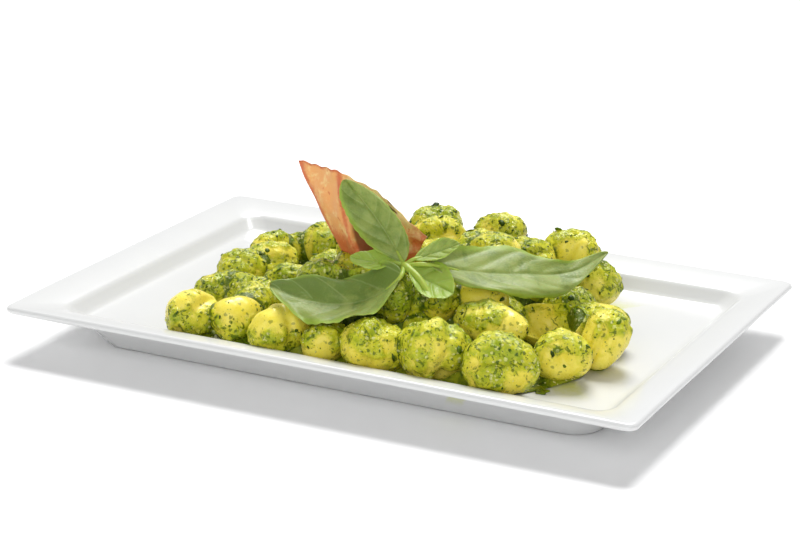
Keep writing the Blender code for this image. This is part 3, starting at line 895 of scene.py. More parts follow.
MIDDLE_COURSE = [
    Gnocco(-16, -50, 20, 0, 24, 20, F.PLUMP, 0.60),
    Gnocco(2, -51, 20, 0, 24, 20, F.PLUMP, 0.60),
    Gnocco(20, -46, 60, 0, 24, 20, F.KNOBBLY, 0.95),
    Gnocco(35, -38, 80, 0, 18, 16, F.PLUMP, 0.60),
    Gnocco(47, -26, 15, 0, 26, 20, F.PLUMP, 0.25, 4.5, 0.1),
    Gnocco(61, -43, 2, 0, 33, 17, F.RIDGED, 0.42),
    Gnocco(60, 48, 10, 0, 27, 18, F.KNOBBLY, 0.45),
    Gnocco(18, 62, -5, 0, 25, 19, F.PLUMP, 0.42),
    Gnocco(0, 32, 20, 0, 27, 21, F.CREASED, 0.30),
    Gnocco(-11, 51, 30, 0, 24, 20, F.KNOBBLY, 0.70),
    Gnocco(-34, 34, -35, 0, 24, 20, F.RIDGED, 0.50),
    Gnocco(-12, -26, 60, 0, 24, 20, F.PLUMP, 0.55),
    Gnocco(46, 30, 40, 0, 25, 20, F.CREASED, 0.50, 2),
]
TOP_COURSE = [
    Gnocco(12, 2, 25, 0, 28, 21, F.PLUMP, 0.55),
    Gnocco(-14, -8, 70, 0, 24, 20, F.CREASED, 0.45),
    Gnocco(-27, 10, 20, 0, 26, 20, F.PLUMP, 0.55),
    Gnocco(34, -10, 30, 0, 26, 20, F.RIDGED, 0.50),
    Gnocco(38, 12, -20, 0, 25, 20, F.PLUMP, 0.45),
    Gnocco(24, 22, 70, 0, 24, 20, F.CREASED, 0.55),
    Gnocco(-10, 12, 40, 0, 24, 18, F.PLUMP, 0.50),
]


@dataclass
class Roof:
    """The underside of the garnish as a map of heights, which the gnocchi are pressed to stay below."""

    cell: float = 1.0 * MM
    reach: float = 0.15
    margin: float = 0.9 * MM
    heights: np.ndarray = field(init=False)

    def __post_init__(self) -> None:
        """Starts with open sky."""
        self.count = int(2 * self.reach / self.cell)
        self.heights = np.full((self.count, self.count), 1.0)

    def cells(self, points: np.ndarray) -> tuple[np.ndarray, np.ndarray]:
        """Row and column of the map for each place."""
        index = ((points[:, :2] + self.reach) / self.cell).astype(int)
        index = np.clip(index, 0, self.count - 1)
        return index[:, 0], index[:, 1]

    def cover(self, points: np.ndarray) -> None:
        """Lowers the map to the given places, and the cells up to two away along X and Y."""
        cross = [(step, 0, 0) for step in (-2, -1, 0, 1, 2)] + [(0, step, 0) for step in (-2, -1, 1, 2)]
        for shift in cross:
            moved = points + np.array(shift) * self.cell
            np.minimum.at(self.heights, self.cells(moved), points[:, 2])

    def press(self, points: np.ndarray) -> np.ndarray:
        """The places, with those above the roof brought under it."""
        ceiling = self.heights[self.cells(points)] - self.margin
        pressed = points.copy()
        pressed[:, 2] = np.minimum(points[:, 2], ceiling)
        return pressed


@dataclass
class Heap:
    """The gnocchi, the pesto between them, and the chopped bits that cling to them."""

    roof: Roof
    nesting: float = 0.9
    inner_spacing: float = 21.0
    inner_centre: tuple[float, float] = (6.0, -6.0)
    inner_radii: tuple[float, float] = (84.0, 60.0)
    inner_size: tuple[float, float] = (23, 19)
    small_size: tuple[float, float] = (16, 12)
    neighbour_reach: float = 34.0
    deepest_press: float = 3.5 * MM
    crack_fade: float = 2.6 * MM
    foot_fade: float = 1.8 * MM
    outer_reach: float = 55 * MM
    pool_reach: float = 62.0
    pool_height: float = 0.8 * MM
    curled_drop: float = 9 * MM
    drips: list[tuple] = field(default_factory=lambda: [(93, -61, 3.0), (64, -80, 4)])
    laid: list[Gnocco] = field(default_factory=list)

    def inner_course(self) -> list[Gnocco]:
        """The buried gnocchi: a staggered lattice inside the heap, small under the low one of the middle."""
        found = []
        low = MIDDLE_COURSE[5]
        reach = 0.8 * self.inner_spacing
        for row in range(-4, 5):
            for column in range(-5, 6):
                x = (column + 0.5 * (row % 2)) * self.inner_spacing + self.inner_centre[0]
                y = row * self.inner_spacing * math.sqrt(3) / 2 + self.inner_centre[1]
                share_x = abs(x - self.inner_centre[0]) / self.inner_radii[0]
                share_y = abs(y - self.inner_centre[1]) / self.inner_radii[1]
                clear = all(math.hypot(x - g.x, y - g.y) > reach for g in BOTTOM_COURSE)
                under_low = math.hypot(x - low.x, y - low.y) < reach
                size = self.small_size if under_low else self.inner_size
                if share_x**3 + share_y**3 < 1 and clear:
                    found.append(Gnocco(x, y, 40 * row, 0, *size, Form.PLUMP, 0.6))
        return found

    def lay(self) -> list[list[Gnocco]]:
        """Settles all the gnocchi, course by course, and gives them back by course."""
        inner = self.inner_course()
        courses = [BOTTOM_COURSE, inner, MIDDLE_COURSE, TOP_COURSE]
        number = 0
        for course in ([*BOTTOM_COURSE, *inner], MIDDLE_COURSE, TOP_COURSE):
            for gnocco in course:
                number += 1
                gnocco.number = number
                gnocco.settle(self.laid, self.nesting)
            self.laid += course
        for gnocco in self.laid:
            gnocco.z -= gnocco.sink
        return courses

    def touching(self, gnocco: Gnocco, points: np.ndarray) -> tuple[np.ndarray, np.ndarray]:
        """Presses the places back where neighbours touch, and tells how deep in the cracks they lie.

        A place inside a neighbour's oval goes out of it by half of how deep it is, so that two soft
        gnocchi share a face; the curled one keeps its shape. A crack is 1 at a neighbour and 0.7 at the
        plate's floor, and fades within a few millimetres; it thickens the pesto there and paints shade into
        the colour.

        Args:
            gnocco: the one the places belong to.
            points: the places.

        Returns:
            The moved places, and their crack values.
        """
        gap = np.full(len(points), 1.0)
        moved = points.copy()
        for other in self.laid:
            if other is gnocco or math.hypot(other.x - gnocco.x, other.y - gnocco.y) > self.neighbour_reach:
                continue
            away = points - np.array([other.x, other.y, other.z]) * MM
            local = away @ other.axes()
            share = np.abs(local[:, 0]) / (other.length / 2 * MM)
            girth = np.linalg.norm(local[:, 1:], axis=1) / other.radius()
            level = np.maximum(share**2 + girth**2.5, 1e-3)
            apart = np.linalg.norm(away, axis=1) * (1 - level ** (-1 / 2.2))
            if gnocco.form is not Form.CURLED:
                moved += unit(away) * np.clip(-0.5 * apart, 0, self.deepest_press)[:, None]
            gap = np.minimum(gap, apart)
        crack = np.exp(-np.maximum(gap, 0) / self.crack_fade)
        foot = 0.7 * np.exp(-np.maximum(points[:, 2] - WELL_FLOOR, 0) / self.foot_fade)
        return moved, np.maximum(crack, foot)

    def coated(self, gnocco: Gnocco, plate: Plate, around: int, along: int) -> Surface:
        """A gnocco with its pesto.

        The coat's share and thickness come from noise, the cracks, the lean and the gnocco's own coat.

        Args:
            gnocco: the one to make.
            plate: the plate it must stay above.
            around: points round it.
            along: rings from end to end.

        Returns:
            The surface, marked with tone, coat and how deep in a crack each point lies, which also paints
            shade in the cracks, at the feet and in the curled hollow.
        """
        surface = gnocco.shape(around, along)
        points = surface.points
        centre = np.array([gnocco.x, gnocco.y, gnocco.z]) * MM
        outward = unit(points - centre)
        points, crevice_pesto_and_shade = self.touching(gnocco, points)
        patches = layered_noise(points, 8 * MM, 21, 3)
        runs = layered_noise(points * np.array([1, 1, 0.55]), 3.2 * MM, 31, 2)
        upward = outward[:, 2] - 0.25 * outward @ np.array([0.0, -1.0, 0.0])
        coat = gnocco.coat - 0.03 + 0.52 * patches + 0.12 * runs + 0.25 * crevice_pesto_and_shade + gnocco.lean * upward
        coat = np.clip(coat, 0, 1)
        paste = 0.75 + 0.70 * value_noise(points, 2.8 * MM, 41)
        paste = paste + 0.40 * value_noise(points, 1.4 * MM, 47)
        thickness = smooth_step(0.35, 0.70, coat) * paste * MM + 1.9 * MM * crevice_pesto_and_shade**2
        surface.points = self.roof.press(points + outward * thickness[:, None])
        floor = plate.top(surface.points) + 0.1 * MM
        surface.points[:, 2] = np.maximum(surface.points[:, 2], floor)
        surface.marks["coat"] = coat
        # Painted shade: the crack value darkens the colour, a third as much on the curled one, and its hollow
        # is darkened too.
        dark = crevice_pesto_and_shade * (0.3 if gnocco.form is Form.CURLED else 1.0)
        surface.marks["crevice_pesto_and_shade"] = np.maximum(dark, 0.28 * surface.marks.pop("pit"))
        return surface

    def envelope(self, spots: np.ndarray) -> np.ndarray:
        """Height of the gnocchi's upper surface at each spot, the plate's floor where there are none."""
        height = np.full(len(spots), WELL_FLOOR)
        for gnocco in self.laid:
            for ball in gnocco.balls():
                ball = ball - np.array([0, 0, self.curled_drop if gnocco.form is Form.CURLED else 0.0])
                flat = np.linalg.norm(spots - ball[:2], axis=1)
                rise = np.sqrt(np.maximum(gnocco.radius() ** 2 - flat**2, 0))
                height = np.maximum(height, np.where(flat < gnocco.radius(), ball[2] + rise, 0))
        return height

    def edge(self, turns: np.ndarray) -> np.ndarray:
        """Distance from the heap's middle to its outer gnocchi in each direction, as a smooth outline."""
        centre = np.array(self.inner_centre) * MM
        places = np.array([(g.x, g.y) for g in BOTTOM_COURSE]) * MM - centre
        reach = np.linalg.norm(places, axis=1)
        outer = reach > self.outer_reach
        angle = np.arctan2(places[outer, 1], places[outer, 0])
        off = (turns[:, None] - angle[None, :] + np.pi) % FULL_TURN - np.pi
        weight = np.exp(-((off / 0.13) ** 2)) + 1e-9
        return (weight * reach[outer][None]).sum(axis=1) / weight.sum(axis=1)

    def pesto_bed(self) -> Surface:
        """The pesto between the gnocchi: their blurred upper surface, sunk some millimetres, on a flat base.

        It is a grid of rays and rings from the heap's middle. The blur is the mean over a small disc, and
        the pesto lies lower on the diner's side.
        """
        rays, rings = 260, 90
        turns = np.linspace(0, FULL_TURN, rays, endpoint=False)
        shares = np.linspace(1, 0, rings, endpoint=False)
        radius = shares[:, None] * (self.edge(turns)[None] + 2.5 * MM)
        centre = np.array(self.inner_centre) * MM
        flat = np.stack([radius * np.cos(turns), radius * np.sin(turns)], axis=-1).reshape(-1, 2) + centre
        total = np.zeros(len(flat))
        around = np.arange(0, 6.2, 0.7)
        offsets = [(0, 0)] + [(r * math.cos(a), r * math.sin(a)) for r in (4, 8) for a in around]
        for offset in offsets:
            total += self.envelope(flat + np.array(offset) * MM)
        mean = total / len(offsets)
        places = np.column_stack([flat, 0 * mean])
        deep = 5.0 * MM + 4.0 * MM * smooth_step(0.0, -0.03, flat[:, 1])
        height = mean - deep + 1.6 * MM * layered_noise(places, 6 * MM, 51, 3)
        rim = np.repeat(smooth_step(0.0, 0.08, 1 - shares), rays)
        floor = WELL_FLOOR + 0.12 * MM
        height = floor + np.maximum(height - floor, 0.5 * MM) * (0.05 + 0.95 * rim)
        surface = capped_tube(
            np.column_stack([flat, height]).reshape(rings, rays, 3),
            np.array([*centre, WELL_FLOOR + 0.05 * MM]),
            np.array([*centre, mean[-rays:].mean() - deep.min()]),
        )
        surface.points = self.roof.press(surface.points)
        surface.marks["thin"] = np.concatenate([1 - rim, [1.0, 0.0]])
        return surface

    def pools(self, plate: Plate) -> tuple[Surface, np.ndarray]:
        """Puddles of pesto round the outer gnocchi's feet, and the stains they leave on the glaze.

        A puddle is a low dome on the plate, 0.8 mm high, whose outline wavers with the direction.

        Returns:
            The puddles, and rows of x, y and radius for the stains.
        """
        chance = np.random.default_rng(77)
        spots = []
        for g in BOTTOM_COURSE:
            if math.hypot(g.x - self.inner_centre[0], g.y - self.inner_centre[1]) > self.pool_reach:
                spots.append((g.x * 0.96, g.y * 0.95, g.width * (0.26 if g.x > 85 else 0.36)))
        parts = []
        stains = []
        shares = np.linspace(1, 0, 9, endpoint=False)
        turns = np.linspace(0, FULL_TURN, 48, endpoint=False)
        around = np.stack([np.cos(turns), np.sin(turns)], axis=-1)
        for x, y, size in spots + self.drips:
            lobes = chance.random(5) * 6.28
            waver = sum(np.cos((k + 2) * turns + lobes[k]) / (k + 2) for k in range(5))
            outline = size * MM * (1 + 0.30 * waver)
            place = np.array([x, y]) * MM
            flat = shares[:, None, None] * (outline[:, None] * around)[None] + place
            rise = np.repeat(self.pool_height * np.sqrt(1 - shares**2 * 0.99), len(turns))
            height = plate.top(flat.reshape(-1, 2)) + 0.05 * MM + rise
            rings = np.concatenate([flat, height.reshape(len(shares), len(turns), 1)], axis=-1)
            middle = np.append(place, plate.top(place[None]))
            part = capped_tube(rings, middle, middle + [0, 0, 0.9 * MM])
            part.marks["thin"] = np.full(len(part.points), 0.55 + 0.4 * chance.random())
            parts.append(part)
            stains.append((x * MM, y * MM, size * 1.5 * MM))
        return Surface.joined(parts), np.array(stains)

    @staticmethod
    def scattered(hosts: Surface, kind: "Scatter") -> Surface:
        """Small bits set on a surface at random points, turned to lie along it.

        Args:
            hosts: the surface they lie on, with its coat marked.
            kind: their shape, sizes and number.
        """
        chance = np.random.default_rng(kind.seed)
        points = hosts.points
        normals = vertex_normals(hosts)
        weight = kind.weights(hosts, normals)
        chosen = chance.choice(len(points), size=kind.count, p=weight / weight.sum())
        jitter = chance.normal(size=(kind.count, 3)) * 0.35 * MM
        place = points[chosen] + jitter
        normal = normals[chosen]
        place -= normal * np.sum(jitter * normal, axis=1)[:, None]
        tilt = unit(normal + chance.normal(size=(kind.count, 3)) * kind.tilt)
        across = unit(np.cross(tilt, unit(chance.normal(size=(kind.count, 3)))))
        other = np.cross(tilt, across)
        size = kind.smallest + (kind.largest - kind.smallest) * chance.random(kind.count) ** 2.2
        stretch = 0.45 + 0.55 * chance.random(kind.count)
        shape, faces = kind.outline()
        wobble = 1 + kind.rough * (chance.random((kind.count, len(shape), 1)) - 0.5)
        local = shape[None] * wobble * size[:, None, None]
        local[..., 1] *= stretch[:, None]
        world = (
            place[:, None]
            + local[..., 0:1] * across[:, None]
            + local[..., 1:2] * other[:, None]
            + (local[..., 2:3] + kind.lift * size[:, None, None]) * tilt[:, None]
        )
        shift = (np.arange(kind.count) * len(shape))[:, None, None]
        triangles = (faces[None] + shift).reshape(-1, 3)
        marks = {"tone": np.repeat(chance.random(kind.count), len(shape))}
        return Surface(world.reshape(-1, 3), np.zeros((0, 4), dtype=np.int64), triangles, marks)

    def build(self, plate: Plate) -> np.ndarray:
        """Makes every piece of the heap on the plate, and gives back the stains on the glaze."""
        bottom, inner, middle, top = self.lay()
        dough = PestoDough().material()
        pesto = Pesto().material()
        groups = {
            "gnocchi_near": (bottom[:13], 88, 56),
            "gnocchi_far": (bottom[13:], 88, 56),
            "gnocchi_middle": (middle, 96, 60),
            "gnocchi_top": (top, 88, 56),
            "gnocchi_inner": (inner, 44, 28),
        }
        hosts = []
        for name, (course, around, along) in groups.items():
            surface = Surface.joined([self.coated(g, plate, around, along) for g in course])
            surface.piece(name, dough, "gnocchi_heap")
            hosts.append(surface)
        host = Surface.joined(hosts)
        bed = self.pesto_bed()
        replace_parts(bed.piece("pesto_bed", pesto, "gnocchi_heap"), "gnocchi_heap")
        pools, stains = self.pools(plate)
        pools.piece("pesto_pools", pesto, "gnocchi_heap")
        bed.marks = {"coat": np.full(len(bed.points), 1.0), "crevice_pesto_and_shade": np.full(len(bed.points), 0.4)}
        host = Surface.joined([host, bed])
        for kind in (HERB_SHREDS, HERB_FLAKES, HERB_DUST, NUT_GRAINS):
            self.scattered(host, kind).piece(kind.name, kind.finish.material(), "gnocchi_heap")
        return stains


def vertex_normals(surface: Surface) -> np.ndarray:
    """The surface's normal at each point: the sum of its faces' normals there, made one long."""
    normals = np.zeros_like(surface.points)
    for faces in (surface.quads, surface.triangles):
        if len(faces) == 0:
            continue
        corners = surface.points[faces]
        if faces.shape[1] == 3:
            flat = np.cross(corners[:, 1] - corners[:, 0], corners[:, 2] - corners[:, 0])
        else:
            flat = np.cross(corners[:, 2] - corners[:, 0], corners[:, 3] - corners[:, 1])
        for corner in range(faces.shape[1]):
            np.add.at(normals, faces[:, corner], flat)
    return unit(normals)


class BitShape(Enum):
    """The shape of a scattered bit."""

    FLAKE = auto()
    GRAIN = auto()


@dataclass(frozen=True)
class Scatter:
    """One kind of small bit that is strewn over the pesto."""

    name: str
    finish: Bits
    shape: BitShape
    count: int
    smallest: float
    largest: float
    seed: int
    tilt: float = 0.25
    rough: float = 0.5
    lift: float = 0.05
    bare_share: float = 0.25

    def outline(self) -> tuple[np.ndarray, np.ndarray]:
        """The bit at half size 1: a ring of corners between two points, seven and flat or six and thick."""
        sides, thick = (7, 0.16) if self.shape is BitShape.FLAKE else (6, 0.75)
        turn = np.linspace(0, FULL_TURN, sides, endpoint=False)
        ring = np.stack([np.cos(turn), np.sin(turn), 0 * turn], axis=1)
        points = np.concatenate([ring, [[0, 0, thick], [0, 0, -thick]]])
        j = np.arange(sides)
        k = (j + 1) % sides
        top = np.stack([j, k, np.full(sides, sides)], axis=1)
        low = np.stack([k, j, np.full(sides, sides + 1)], axis=1)
        return points, np.concatenate([top, low])

    def weights(self, hosts: Surface, normals: np.ndarray) -> np.ndarray:
        """How likely a bit is at each point: more where pesto is thick, few on bare dough and undersides."""
        coat = hosts.marks["coat"]
        clumps = np.clip(0.5 + layered_noise(hosts.points, 6 * MM, self.seed + 5, 2), 0.02, 1)
        open_side = smooth_step(-0.5, 0.1, normals[:, 2])
        return (self.bare_share + smooth_step(0.3, 0.8, coat)) * clumps**1.5 * open_side


HERB = Bits("herb_bits", (0.022, 0.052, 0.002), (0.13, 0.22, 0.006))
NUT = Bits("nut_bits", (0.62, 0.62, 0.12), (0.86, 0.85, 0.36), 0.3)
HERB_SHREDS = Scatter("herb_shreds", HERB, BitShape.FLAKE, 560, 0.8 * MM, 2.4 * MM, 81)
HERB_FLAKES = Scatter("herb_flakes", HERB, BitShape.FLAKE, 1500, 0.35 * MM, 0.9 * MM, 84)
HERB_DUST = Scatter("herb_dust", HERB, BitShape.FLAKE, 1800, 0.18 * MM, 0.4 * MM, 82)
NUT_GRAINS = Scatter("nut_grains", NUT, BitShape.GRAIN, 850, 0.25 * MM, 0.8 * MM, 83, bare_share=0.05)


# ------------------------------------------------------------------ basil


@dataclass
class Leaf:
    """A basil leaf, given by its base, tip and the middles of its left and right margins, in millimetres.

    The midrib is a parabola from base to tip through a point below the margins' middle. The blade spreads
    from it by a width profile s^rise * (1 - s)^fall, and lifts towards its margins.
    """

    base: tuple[float, float, float]
    tip: tuple[float, float, float]
    left: tuple[float, float, float]
    right: tuple[float, float, float]
    crease: float = 3.0
    widest: float = 0.45
    wave: float = 0.6
    rise: float = 0.7
    curl_left: float = 0.0
    curl_right: float = 0.0
    narrow_left: float = 0.0
    narrow_right: float = 0.0
    tip_lift: float = 0.0
    young: float = 0.0
    # How much painted shade darkens the left half of the blade.
    shade: float = 0.0
    seed: int = 0
    pairs: float = 5.0
    thickness: float = 0.45

    def profile(self, s: np.ndarray) -> np.ndarray:
        """Half width along the leaf, 1 at the widest place."""
        fall = self.rise * (1 - self.widest) / self.widest
        peak = self.widest**self.rise * (1 - self.widest) ** fall
        return np.maximum(s, 1e-6) ** self.rise * np.maximum(1 - s, 0) ** fall / peak

    def frame(self) -> tuple[np.ndarray, ...]:
        """Half width vector across the blade, its normal, and the midrib's base, bending point and tip."""
        base, tip, left, right = (np.array(p) * MM for p in (self.base, self.tip, self.left, self.right))
        across = (right - left) / 2
        normal = unit(np.cross(across, tip - base))
        normal = normal if normal[2] > 0 else -normal
        w = self.widest
        middle = (left + right) / 2 - normal * self.crease * MM
        bend = (middle - base * (1 - w) ** 2 - tip * w**2) / (2 * w * (1 - w))
        return across, normal, base, bend, tip

    def middle_surface(self, s: np.ndarray, t: np.ndarray) -> tuple[np.ndarray, np.ndarray]:
        """Places on the blade and how strongly a vein runs there.

        Side veins leave the midrib and sweep towards the tip: but for a small sway they lie where
        s - 0.34 |t|^1.4 width^0.5 is a whole number of steps, half a step on between the two sides. The
        blade swells between them, and its margins roll and ripple.

        Args:
            s: share of the way from base to tip.
            t: place across, -1 at the left margin and 1 at the right one.
        """
        across, normal, base, bend, tip = self.frame()
        rib = base * (1 - s)[..., None] ** 2 + bend * (2 * s * (1 - s))[..., None] + tip * s[..., None] ** 2
        narrow = np.where(t < 0, self.narrow_left, self.narrow_right)
        width = self.profile(s) * (1 - narrow * smooth_step(0.40, 0.78, s) * (1 - s**4))
        side = np.abs(t)
        teeth = 1 + 0.018 * np.sin(s * 70 + self.seed) * smooth_step(0.85, 1.0, side)
        sway = 0.22 * np.sin(4.3 * s + 1.7 * self.seed + 2 * np.sign(t))
        phase = (s - 0.34 * side**1.4 * width**0.5) * self.pairs + 0.5 * (t > 0) + sway
        to_vein = np.abs((phase + 0.5) % 1 - 0.5)
        fade = smooth_step(0.02, 0.15, side) * smooth_step(1.02, 0.75, side)
        quilt = 0.55 * MM * (smooth_step(0.0, 0.32, to_vein) - 0.5) * fade * width
        groove = -0.55 * MM * np.exp(-((side * width / 0.05) ** 2))
        lift = self.crease * MM * width * side**1.6
        ripple = self.wave * MM * width * side**2 * np.sin(s * 9.5 + 2.2 * t + self.seed)
        ripple = ripple + 0.35 * self.wave * MM * side**3 * np.sin(s * 23 + 5 * t + self.seed)
        amount = np.where(t < 0, self.curl_left, self.curl_right) * MM
        roll = np.maximum(side - 0.62, 0) / 0.38
        pull = 1 - 0.22 * roll**2 * np.minimum(np.abs(amount) / (4 * MM), 1)
        curl = -amount * roll**2 * width
        dip = np.sin(np.pi * np.clip((s - 0.5) * 2, 0, 1))
        end = self.tip_lift * MM * (smooth_step(0.75, 1.0, s) - 0.6 * dip)
        place = rib + across * (t * width * teeth * pull)[..., None]
        place = place + normal * (lift + quilt + groove + ripple + curl + end)[..., None]
        vein = np.maximum(np.exp(-((to_vein / 0.06) ** 2)) * fade, np.exp(-((side * width / 0.04) ** 2)))
        return place, vein

    def build(self, rows: int = 90, columns: int = 57) -> Surface:
        """The leaf as a closed thin body: an upper and a lower skin that meet along the margin.

        Args:
            rows: points from base to tip.
            columns: points across.
        """
        across, up, base, _, tip = self.frame()
        handed = np.sign(np.cross(across, tip - base) @ up)
        turn = np.linspace(0, np.pi, rows)
        s = (0.004 + 0.992 * (1 - np.cos(turn)) / 2)[:, None] * np.ones((1, columns))
        t = handed * np.sin(np.linspace(-np.pi / 2, np.pi / 2, columns))[None] * np.ones((rows, 1))
        middle, vein = self.middle_surface(s, t)
        normal = unit(np.cross(np.gradient(middle, axis=1), np.gradient(middle, axis=0)))
        body = self.thickness / 2 * MM * (np.sqrt(np.clip(1 - t**4, 0, 1)) * 0.9 + 0.1)
        body = body * smooth_step(0, 0.03, s) * smooth_step(1, 0.97, s) + 0.03 * MM
        upper = middle + normal * body[..., None]
        lower = middle - normal * body[..., None]
        rings = np.concatenate([upper, lower[:, ::-1]], axis=1)
        surface = capped_tube(rings, middle[0].mean(axis=0), middle[-1].mean(axis=0))
        # The shade mark is painted shade on the left half of the blade.
        sheets = {"vein": vein, "rim": np.abs(t), "shade": self.shade * smooth_step(0.5, -0.5, t)}
        for name, sheet in sheets.items():
            surface.marks[name] = np.append(np.concatenate([sheet, sheet[:, ::-1]], axis=1), [1, 1])
        under = np.concatenate([0 * s, 0 * s + 1], axis=1)
        surface.marks["under"] = np.append(under, [0.5, 0.5])
        surface.marks["young"] = np.full(len(surface.points), self.young)
        return surface


@dataclass
class BasilSprig:
    """The sprig: six leaves on a short stem."""

    node: tuple[float, float, float] = (21, -47, 52)
    stem_radius: float = 1.5

    def leaves(self) -> dict[str, Leaf]:
        """The leaves by name."""
        return {
            "upright": Leaf((20, -46, 53), (-9, -45, 86), (-3, -49, 67), (17, -42, 72), 3.5, 0.5, 1.2,
                            curl_right=3.5, seed=1, shade=0.25, young=0.12, pairs=4.2),
            "broad": Leaf((24, -56, 50), (-33, -69, 41), (2, -51, 51), (10, -80, 34), 5.5, 0.4, 3.0, 0.45,
                          seed=2, curl_left=2.5, shade=0.95, young=0.1, pairs=4.5),
            "long": Leaf((32, -46, 54), (88, 20, 47.5), (51, -8, 56), (72, -30, 41), 2.5, 0.42, 1.8, 0.80,
                         curl_right=3.5, narrow_left=0.7, tip_lift=3.5, seed=3, pairs=5.5),
            "small_back": Leaf((25, -45, 55), (42, -36, 62), (31, -35, 62), (37, -44, 57), 1.5, 0.5, 0.4,
                               seed=4, young=0.35, pairs=3.5),
            "small_front": Leaf((25, -50, 52), (48, -54, 46), (37, -42, 54), (38, -60, 45), 2.5, 0.5, 0.6,
                                seed=5, young=0.8, pairs=3.5),
            "small_left": Leaf((17, -48, 53), (-1, -55, 55), (8, -47, 57), (9, -58, 52), 1.5, 0.5, 0.5,
                               seed=6, young=1.0, pairs=3),
        }

    def build(self, roof: Roof) -> None:
        """Makes the leaves and the stem, and covers the roof with them."""
        skin = BasilSkin().material()
        parts = []
        stems = []
        for leaf in self.leaves().values():
            parts.append(leaf.build())
            on_rib = leaf.middle_surface(np.array(0.14), np.array(0.0))[0] / MM
            stops = np.array([self.node, leaf.base, on_rib])
            radii = np.linspace(self.stem_radius * 0.8, self.stem_radius * 0.45, 20) * MM
            stems.append(tube(smooth_route(stops * MM, 20), radii, 14))
        whole = Surface.joined(parts)
        roof.cover(whole.points)
        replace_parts(whole.piece("basil_leaves", skin, "basil_sprig"), "basil_sprig")
        route = smooth_route(np.array([(10, -38, 51), (21, -47, 52), (30, -52, 50), (38, -56, 44)]) * MM, 40)
        swell = 1 + 0.35 * np.exp(-((np.linspace(-1, 1.6, 40) / 0.25) ** 2))
        stems.append(tube(route, self.stem_radius * MM * swell, 18))
        joined = Surface.joined(stems)
        roof.cover(joined.points)
        joined.piece("basil_stem", StemSkin().material(), "basil_sprig")


# ------------------------------------------------------------------ tomato crisp


@dataclass
class TomatoCrisp:
    """A folded sheet of dried tomato that stands in the heap behind the upright leaf."""

    feet: tuple = ((-15, -24, 37), (-9, -29, 37), (-2, -33, 38), (3, -27, 38), (8, -23, 39), (13, -20, 44))
    middles: tuple = ((-30.5, -26, 63), (-20, -32, 63), (-11, -37, 62), (-3, -28, 60), (6, -23, 56),
                      (15, -18.5, 51))
    tops: tuple = ((-41, -28, 86), (-27, -33, 86.5), (-14, -37, 85.8), (-3, -31, 79), (6, -24, 69.2),
                   (18, -18.5, 56.5))
    facing: tuple = (0.2, -0.97, 0.1)
    thickness: float = 0.8
    curve_points: int = 400

    def middle_surface(self, s: np.ndarray, t: np.ndarray) -> np.ndarray:
        """Places on the sheet.

        Smooth curves run through the feet, the middles and the tops, and at each place t along them a
        parabola in s joins the three. Waves across and along crinkle it.
        """
        index = np.clip((t * (self.curve_points - 1)).astype(int), 0, self.curve_points - 1)
        foot, middle, top = (smooth_route(np.array(stops, dtype=float), self.curve_points)[index]
                             for stops in (self.feet, self.middles, self.tops))
        s = s[..., None]
        place = foot * (1 - s) * (1 - 2 * s) + middle * 4 * s * (1 - s) + top * s * (2 * s - 1)
        wave = 0.7 * np.sin(9 * s + 14 * t[..., None]) * s + 0.4 * np.sin(17 * s - 31 * t[..., None])
        notch = 0.6 * np.sin(41 * t[..., None]) * np.sin(23 * t[..., None]) * s**8
        return (place + unit(np.array(self.facing)) * wave + np.array([0, 0, 1.0]) * notch) * MM

    def build(self, rows: int = 80, columns: int = 130) -> None:
        """Makes the sheet as a closed thin body.

        Args:
            rows: points from the foot up.
            columns: points along it.
        """
        s = np.linspace(0, 1, rows)[:, None] * np.ones((1, columns))
        t = np.linspace(0, 1, columns)[None] * np.ones((rows, 1))
        middle = self.middle_surface(s, t)
        rough = 0.45 * MM * layered_noise(middle.reshape(-1, 3), 5 * MM, 61, 3).reshape(rows, columns)
        facing = unit(np.array(self.facing))
        middle = middle + facing * rough[..., None]
        half = self.thickness / 2 * MM
        front = middle + facing * half
        back = middle - facing * half
        rings = np.concatenate([front, back[:, ::-1]], axis=1)
        surface = capped_tube(rings, middle[0].mean(axis=0), middle[-1].mean(axis=0))
        outer_edge = np.exp(-((t / 0.07) ** 2))
        fold = 0.85 * np.exp(-(((t - 0.37) / 0.05) ** 2))
        low = 0.95 * smooth_step(0.62, 0.25, s)
        upper_edge = 0.8 * smooth_step(0.93, 1.0, s) * smooth_step(0.42, 0.36, t)
        sheets = {
            "rim": np.maximum.reduce([outer_edge, fold, low, upper_edge, 0.75 * smooth_step(0.78, 0.95, t)]),
            # inside: painted shadow on the part of the sheet beyond the fold.
            "inside": smooth_step(0.40, 0.46, t) * smooth_step(0.80, 0.72, t) * smooth_step(0.85, 0.35, s),
            # cream: that top strip, partly cream in colour and partly painted light.
            "cream": smooth_step(0.38, 0.46, t) * smooth_step(0.6, 0.9, s),
        }
        for name, sheet in sheets.items():
            surface.marks[name] = np.append(np.concatenate([sheet, sheet[:, ::-1]], axis=1), [1, 1])
        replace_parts(surface.piece("crisp_sheet", CrispSkin().material(), "tomato_crisp"), "tomato_crisp")


# ------------------------------------------------------------------ surroundings


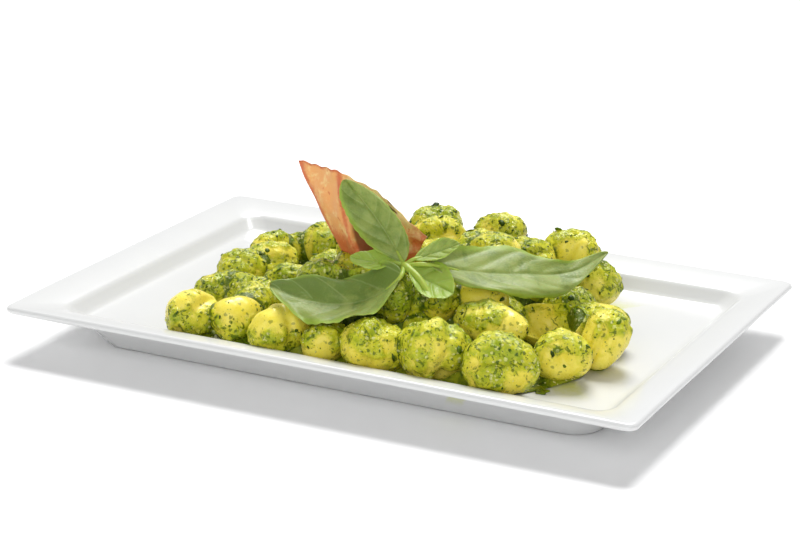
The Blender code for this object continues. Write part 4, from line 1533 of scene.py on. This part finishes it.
@dataclass
class Studio:
    """White table, soft light and the camera."""

    camera_place: tuple = (0.44444, -0.90557, 0.36142)
    camera_yaw: float = -26.349
    camera_pitch: float = 17.930
    camera_roll: float = 0.785
    focal_length: float = 105.41
    table_reach: float = 6.0
    sky_strength: float = 0.42
    key_strength: float = 2.75
    key_spread: float = 26.0
    key_direction: tuple = (0.28, -0.66, -1.0)

    def build(self) -> None:
        """Makes the table, the lights and the camera."""
        self.table()
        self.lights()
        self.camera()
        view = bpy.context.scene.view_settings
        view.view_transform = "Standard"
        view.look = "None"

    def table(self) -> None:
        """A wide white table top with the faintest mottle."""
        rows = 25
        span = np.linspace(-self.table_reach, self.table_reach, rows)
        x, y = np.meshgrid(span, span)
        points = np.stack([x.ravel(), y.ravel(), np.full(x.size, -0.2 * MM)], axis=1)
        mesh = bpy.data.meshes.new("table_top")
        mesh.from_pydata(points.tolist(), [], grid_quads(rows, rows, False).tolist())
        f = Finish("table_white", Roughness=0.6)
        tint = f.blend(f.noise(0.3, 2), (0.985, 0.985, 0.985), (0.975, 0.975, 0.98))
        mesh.materials.append(f.paint(tint).material)
        item = bpy.data.objects.new("table_top", mesh)
        bpy.context.scene.collection.objects.link(item)

    def lights(self) -> None:
        """A dim sky, a very broad key from behind on the left, a lamp for glints and a weak front fill."""
        world = bpy.data.worlds.new("studio")
        world.use_nodes = True
        sky = world.node_tree.nodes["Background"].inputs
        sky[0].default_value = (1.0, 1.0, 1.0, 1.0)
        sky[1].default_value = self.sky_strength
        bpy.context.scene.world = world
        data = bpy.data.lights.new("softbox", "SUN")
        data.energy = self.key_strength
        data.angle = math.radians(self.key_spread)
        item = bpy.data.objects.new("softbox", data)
        item.rotation_euler = Vector(self.key_direction).to_track_quat("-Z", "Y").to_euler()
        bpy.context.scene.collection.objects.link(item)
        self.lamp("glint", (0.10, 0.35, 0.8), 0.16, 1.6)
        self.lamp("fill", (0.5, -1.5, 0.8), 1.0, 10.5)

    @staticmethod
    def lamp(name: str, place: tuple, size: float, power: float) -> None:
        """A square lamp that faces the food."""
        data = bpy.data.lights.new(name, "AREA")
        data.energy = power
        data.size = size
        item = bpy.data.objects.new(name, data)
        item.location = place
        aim = Vector((0, 0, 0.03)) - Vector(place)
        item.rotation_euler = aim.to_track_quat("-Z", "Y").to_euler()
        bpy.context.scene.collection.objects.link(item)

    def camera(self) -> None:
        """The camera, low over the plate's near right corner."""
        yaw, pitch, roll = (math.radians(a) for a in (self.camera_yaw, self.camera_pitch, self.camera_roll))
        ahead = Vector((math.sin(yaw) * math.cos(pitch), math.cos(yaw) * math.cos(pitch), -math.sin(pitch)))
        level = Vector((math.cos(yaw), -math.sin(yaw), 0))
        above = level.cross(ahead)
        side = level * math.cos(roll) + above * math.sin(roll)
        top = above * math.cos(roll) - level * math.sin(roll)
        data = bpy.data.cameras.new("camera")
        data.lens = self.focal_length
        data.sensor_width = 36
        data.clip_start = 0.01
        data.clip_end = 50
        item = bpy.data.objects.new("camera", data)
        turned = Matrix((side, top, -ahead)).transposed()
        item.matrix_world = Matrix.Translation(self.camera_place) @ turned.to_4x4()
        bpy.context.scene.collection.objects.link(item)
        bpy.context.scene.camera = item


def main() -> None:
    """Builds the garnish, the heap under it, the plate and the studio."""
    logging.basicConfig(level=logging.INFO)
    roof = Roof()
    BasilSprig().build(roof)
    TomatoCrisp().build()
    plate = Plate()
    stains = Heap(roof).build(plate)
    plate.build(stains)
    Studio().build()


if __name__ == "__main__":
    main()
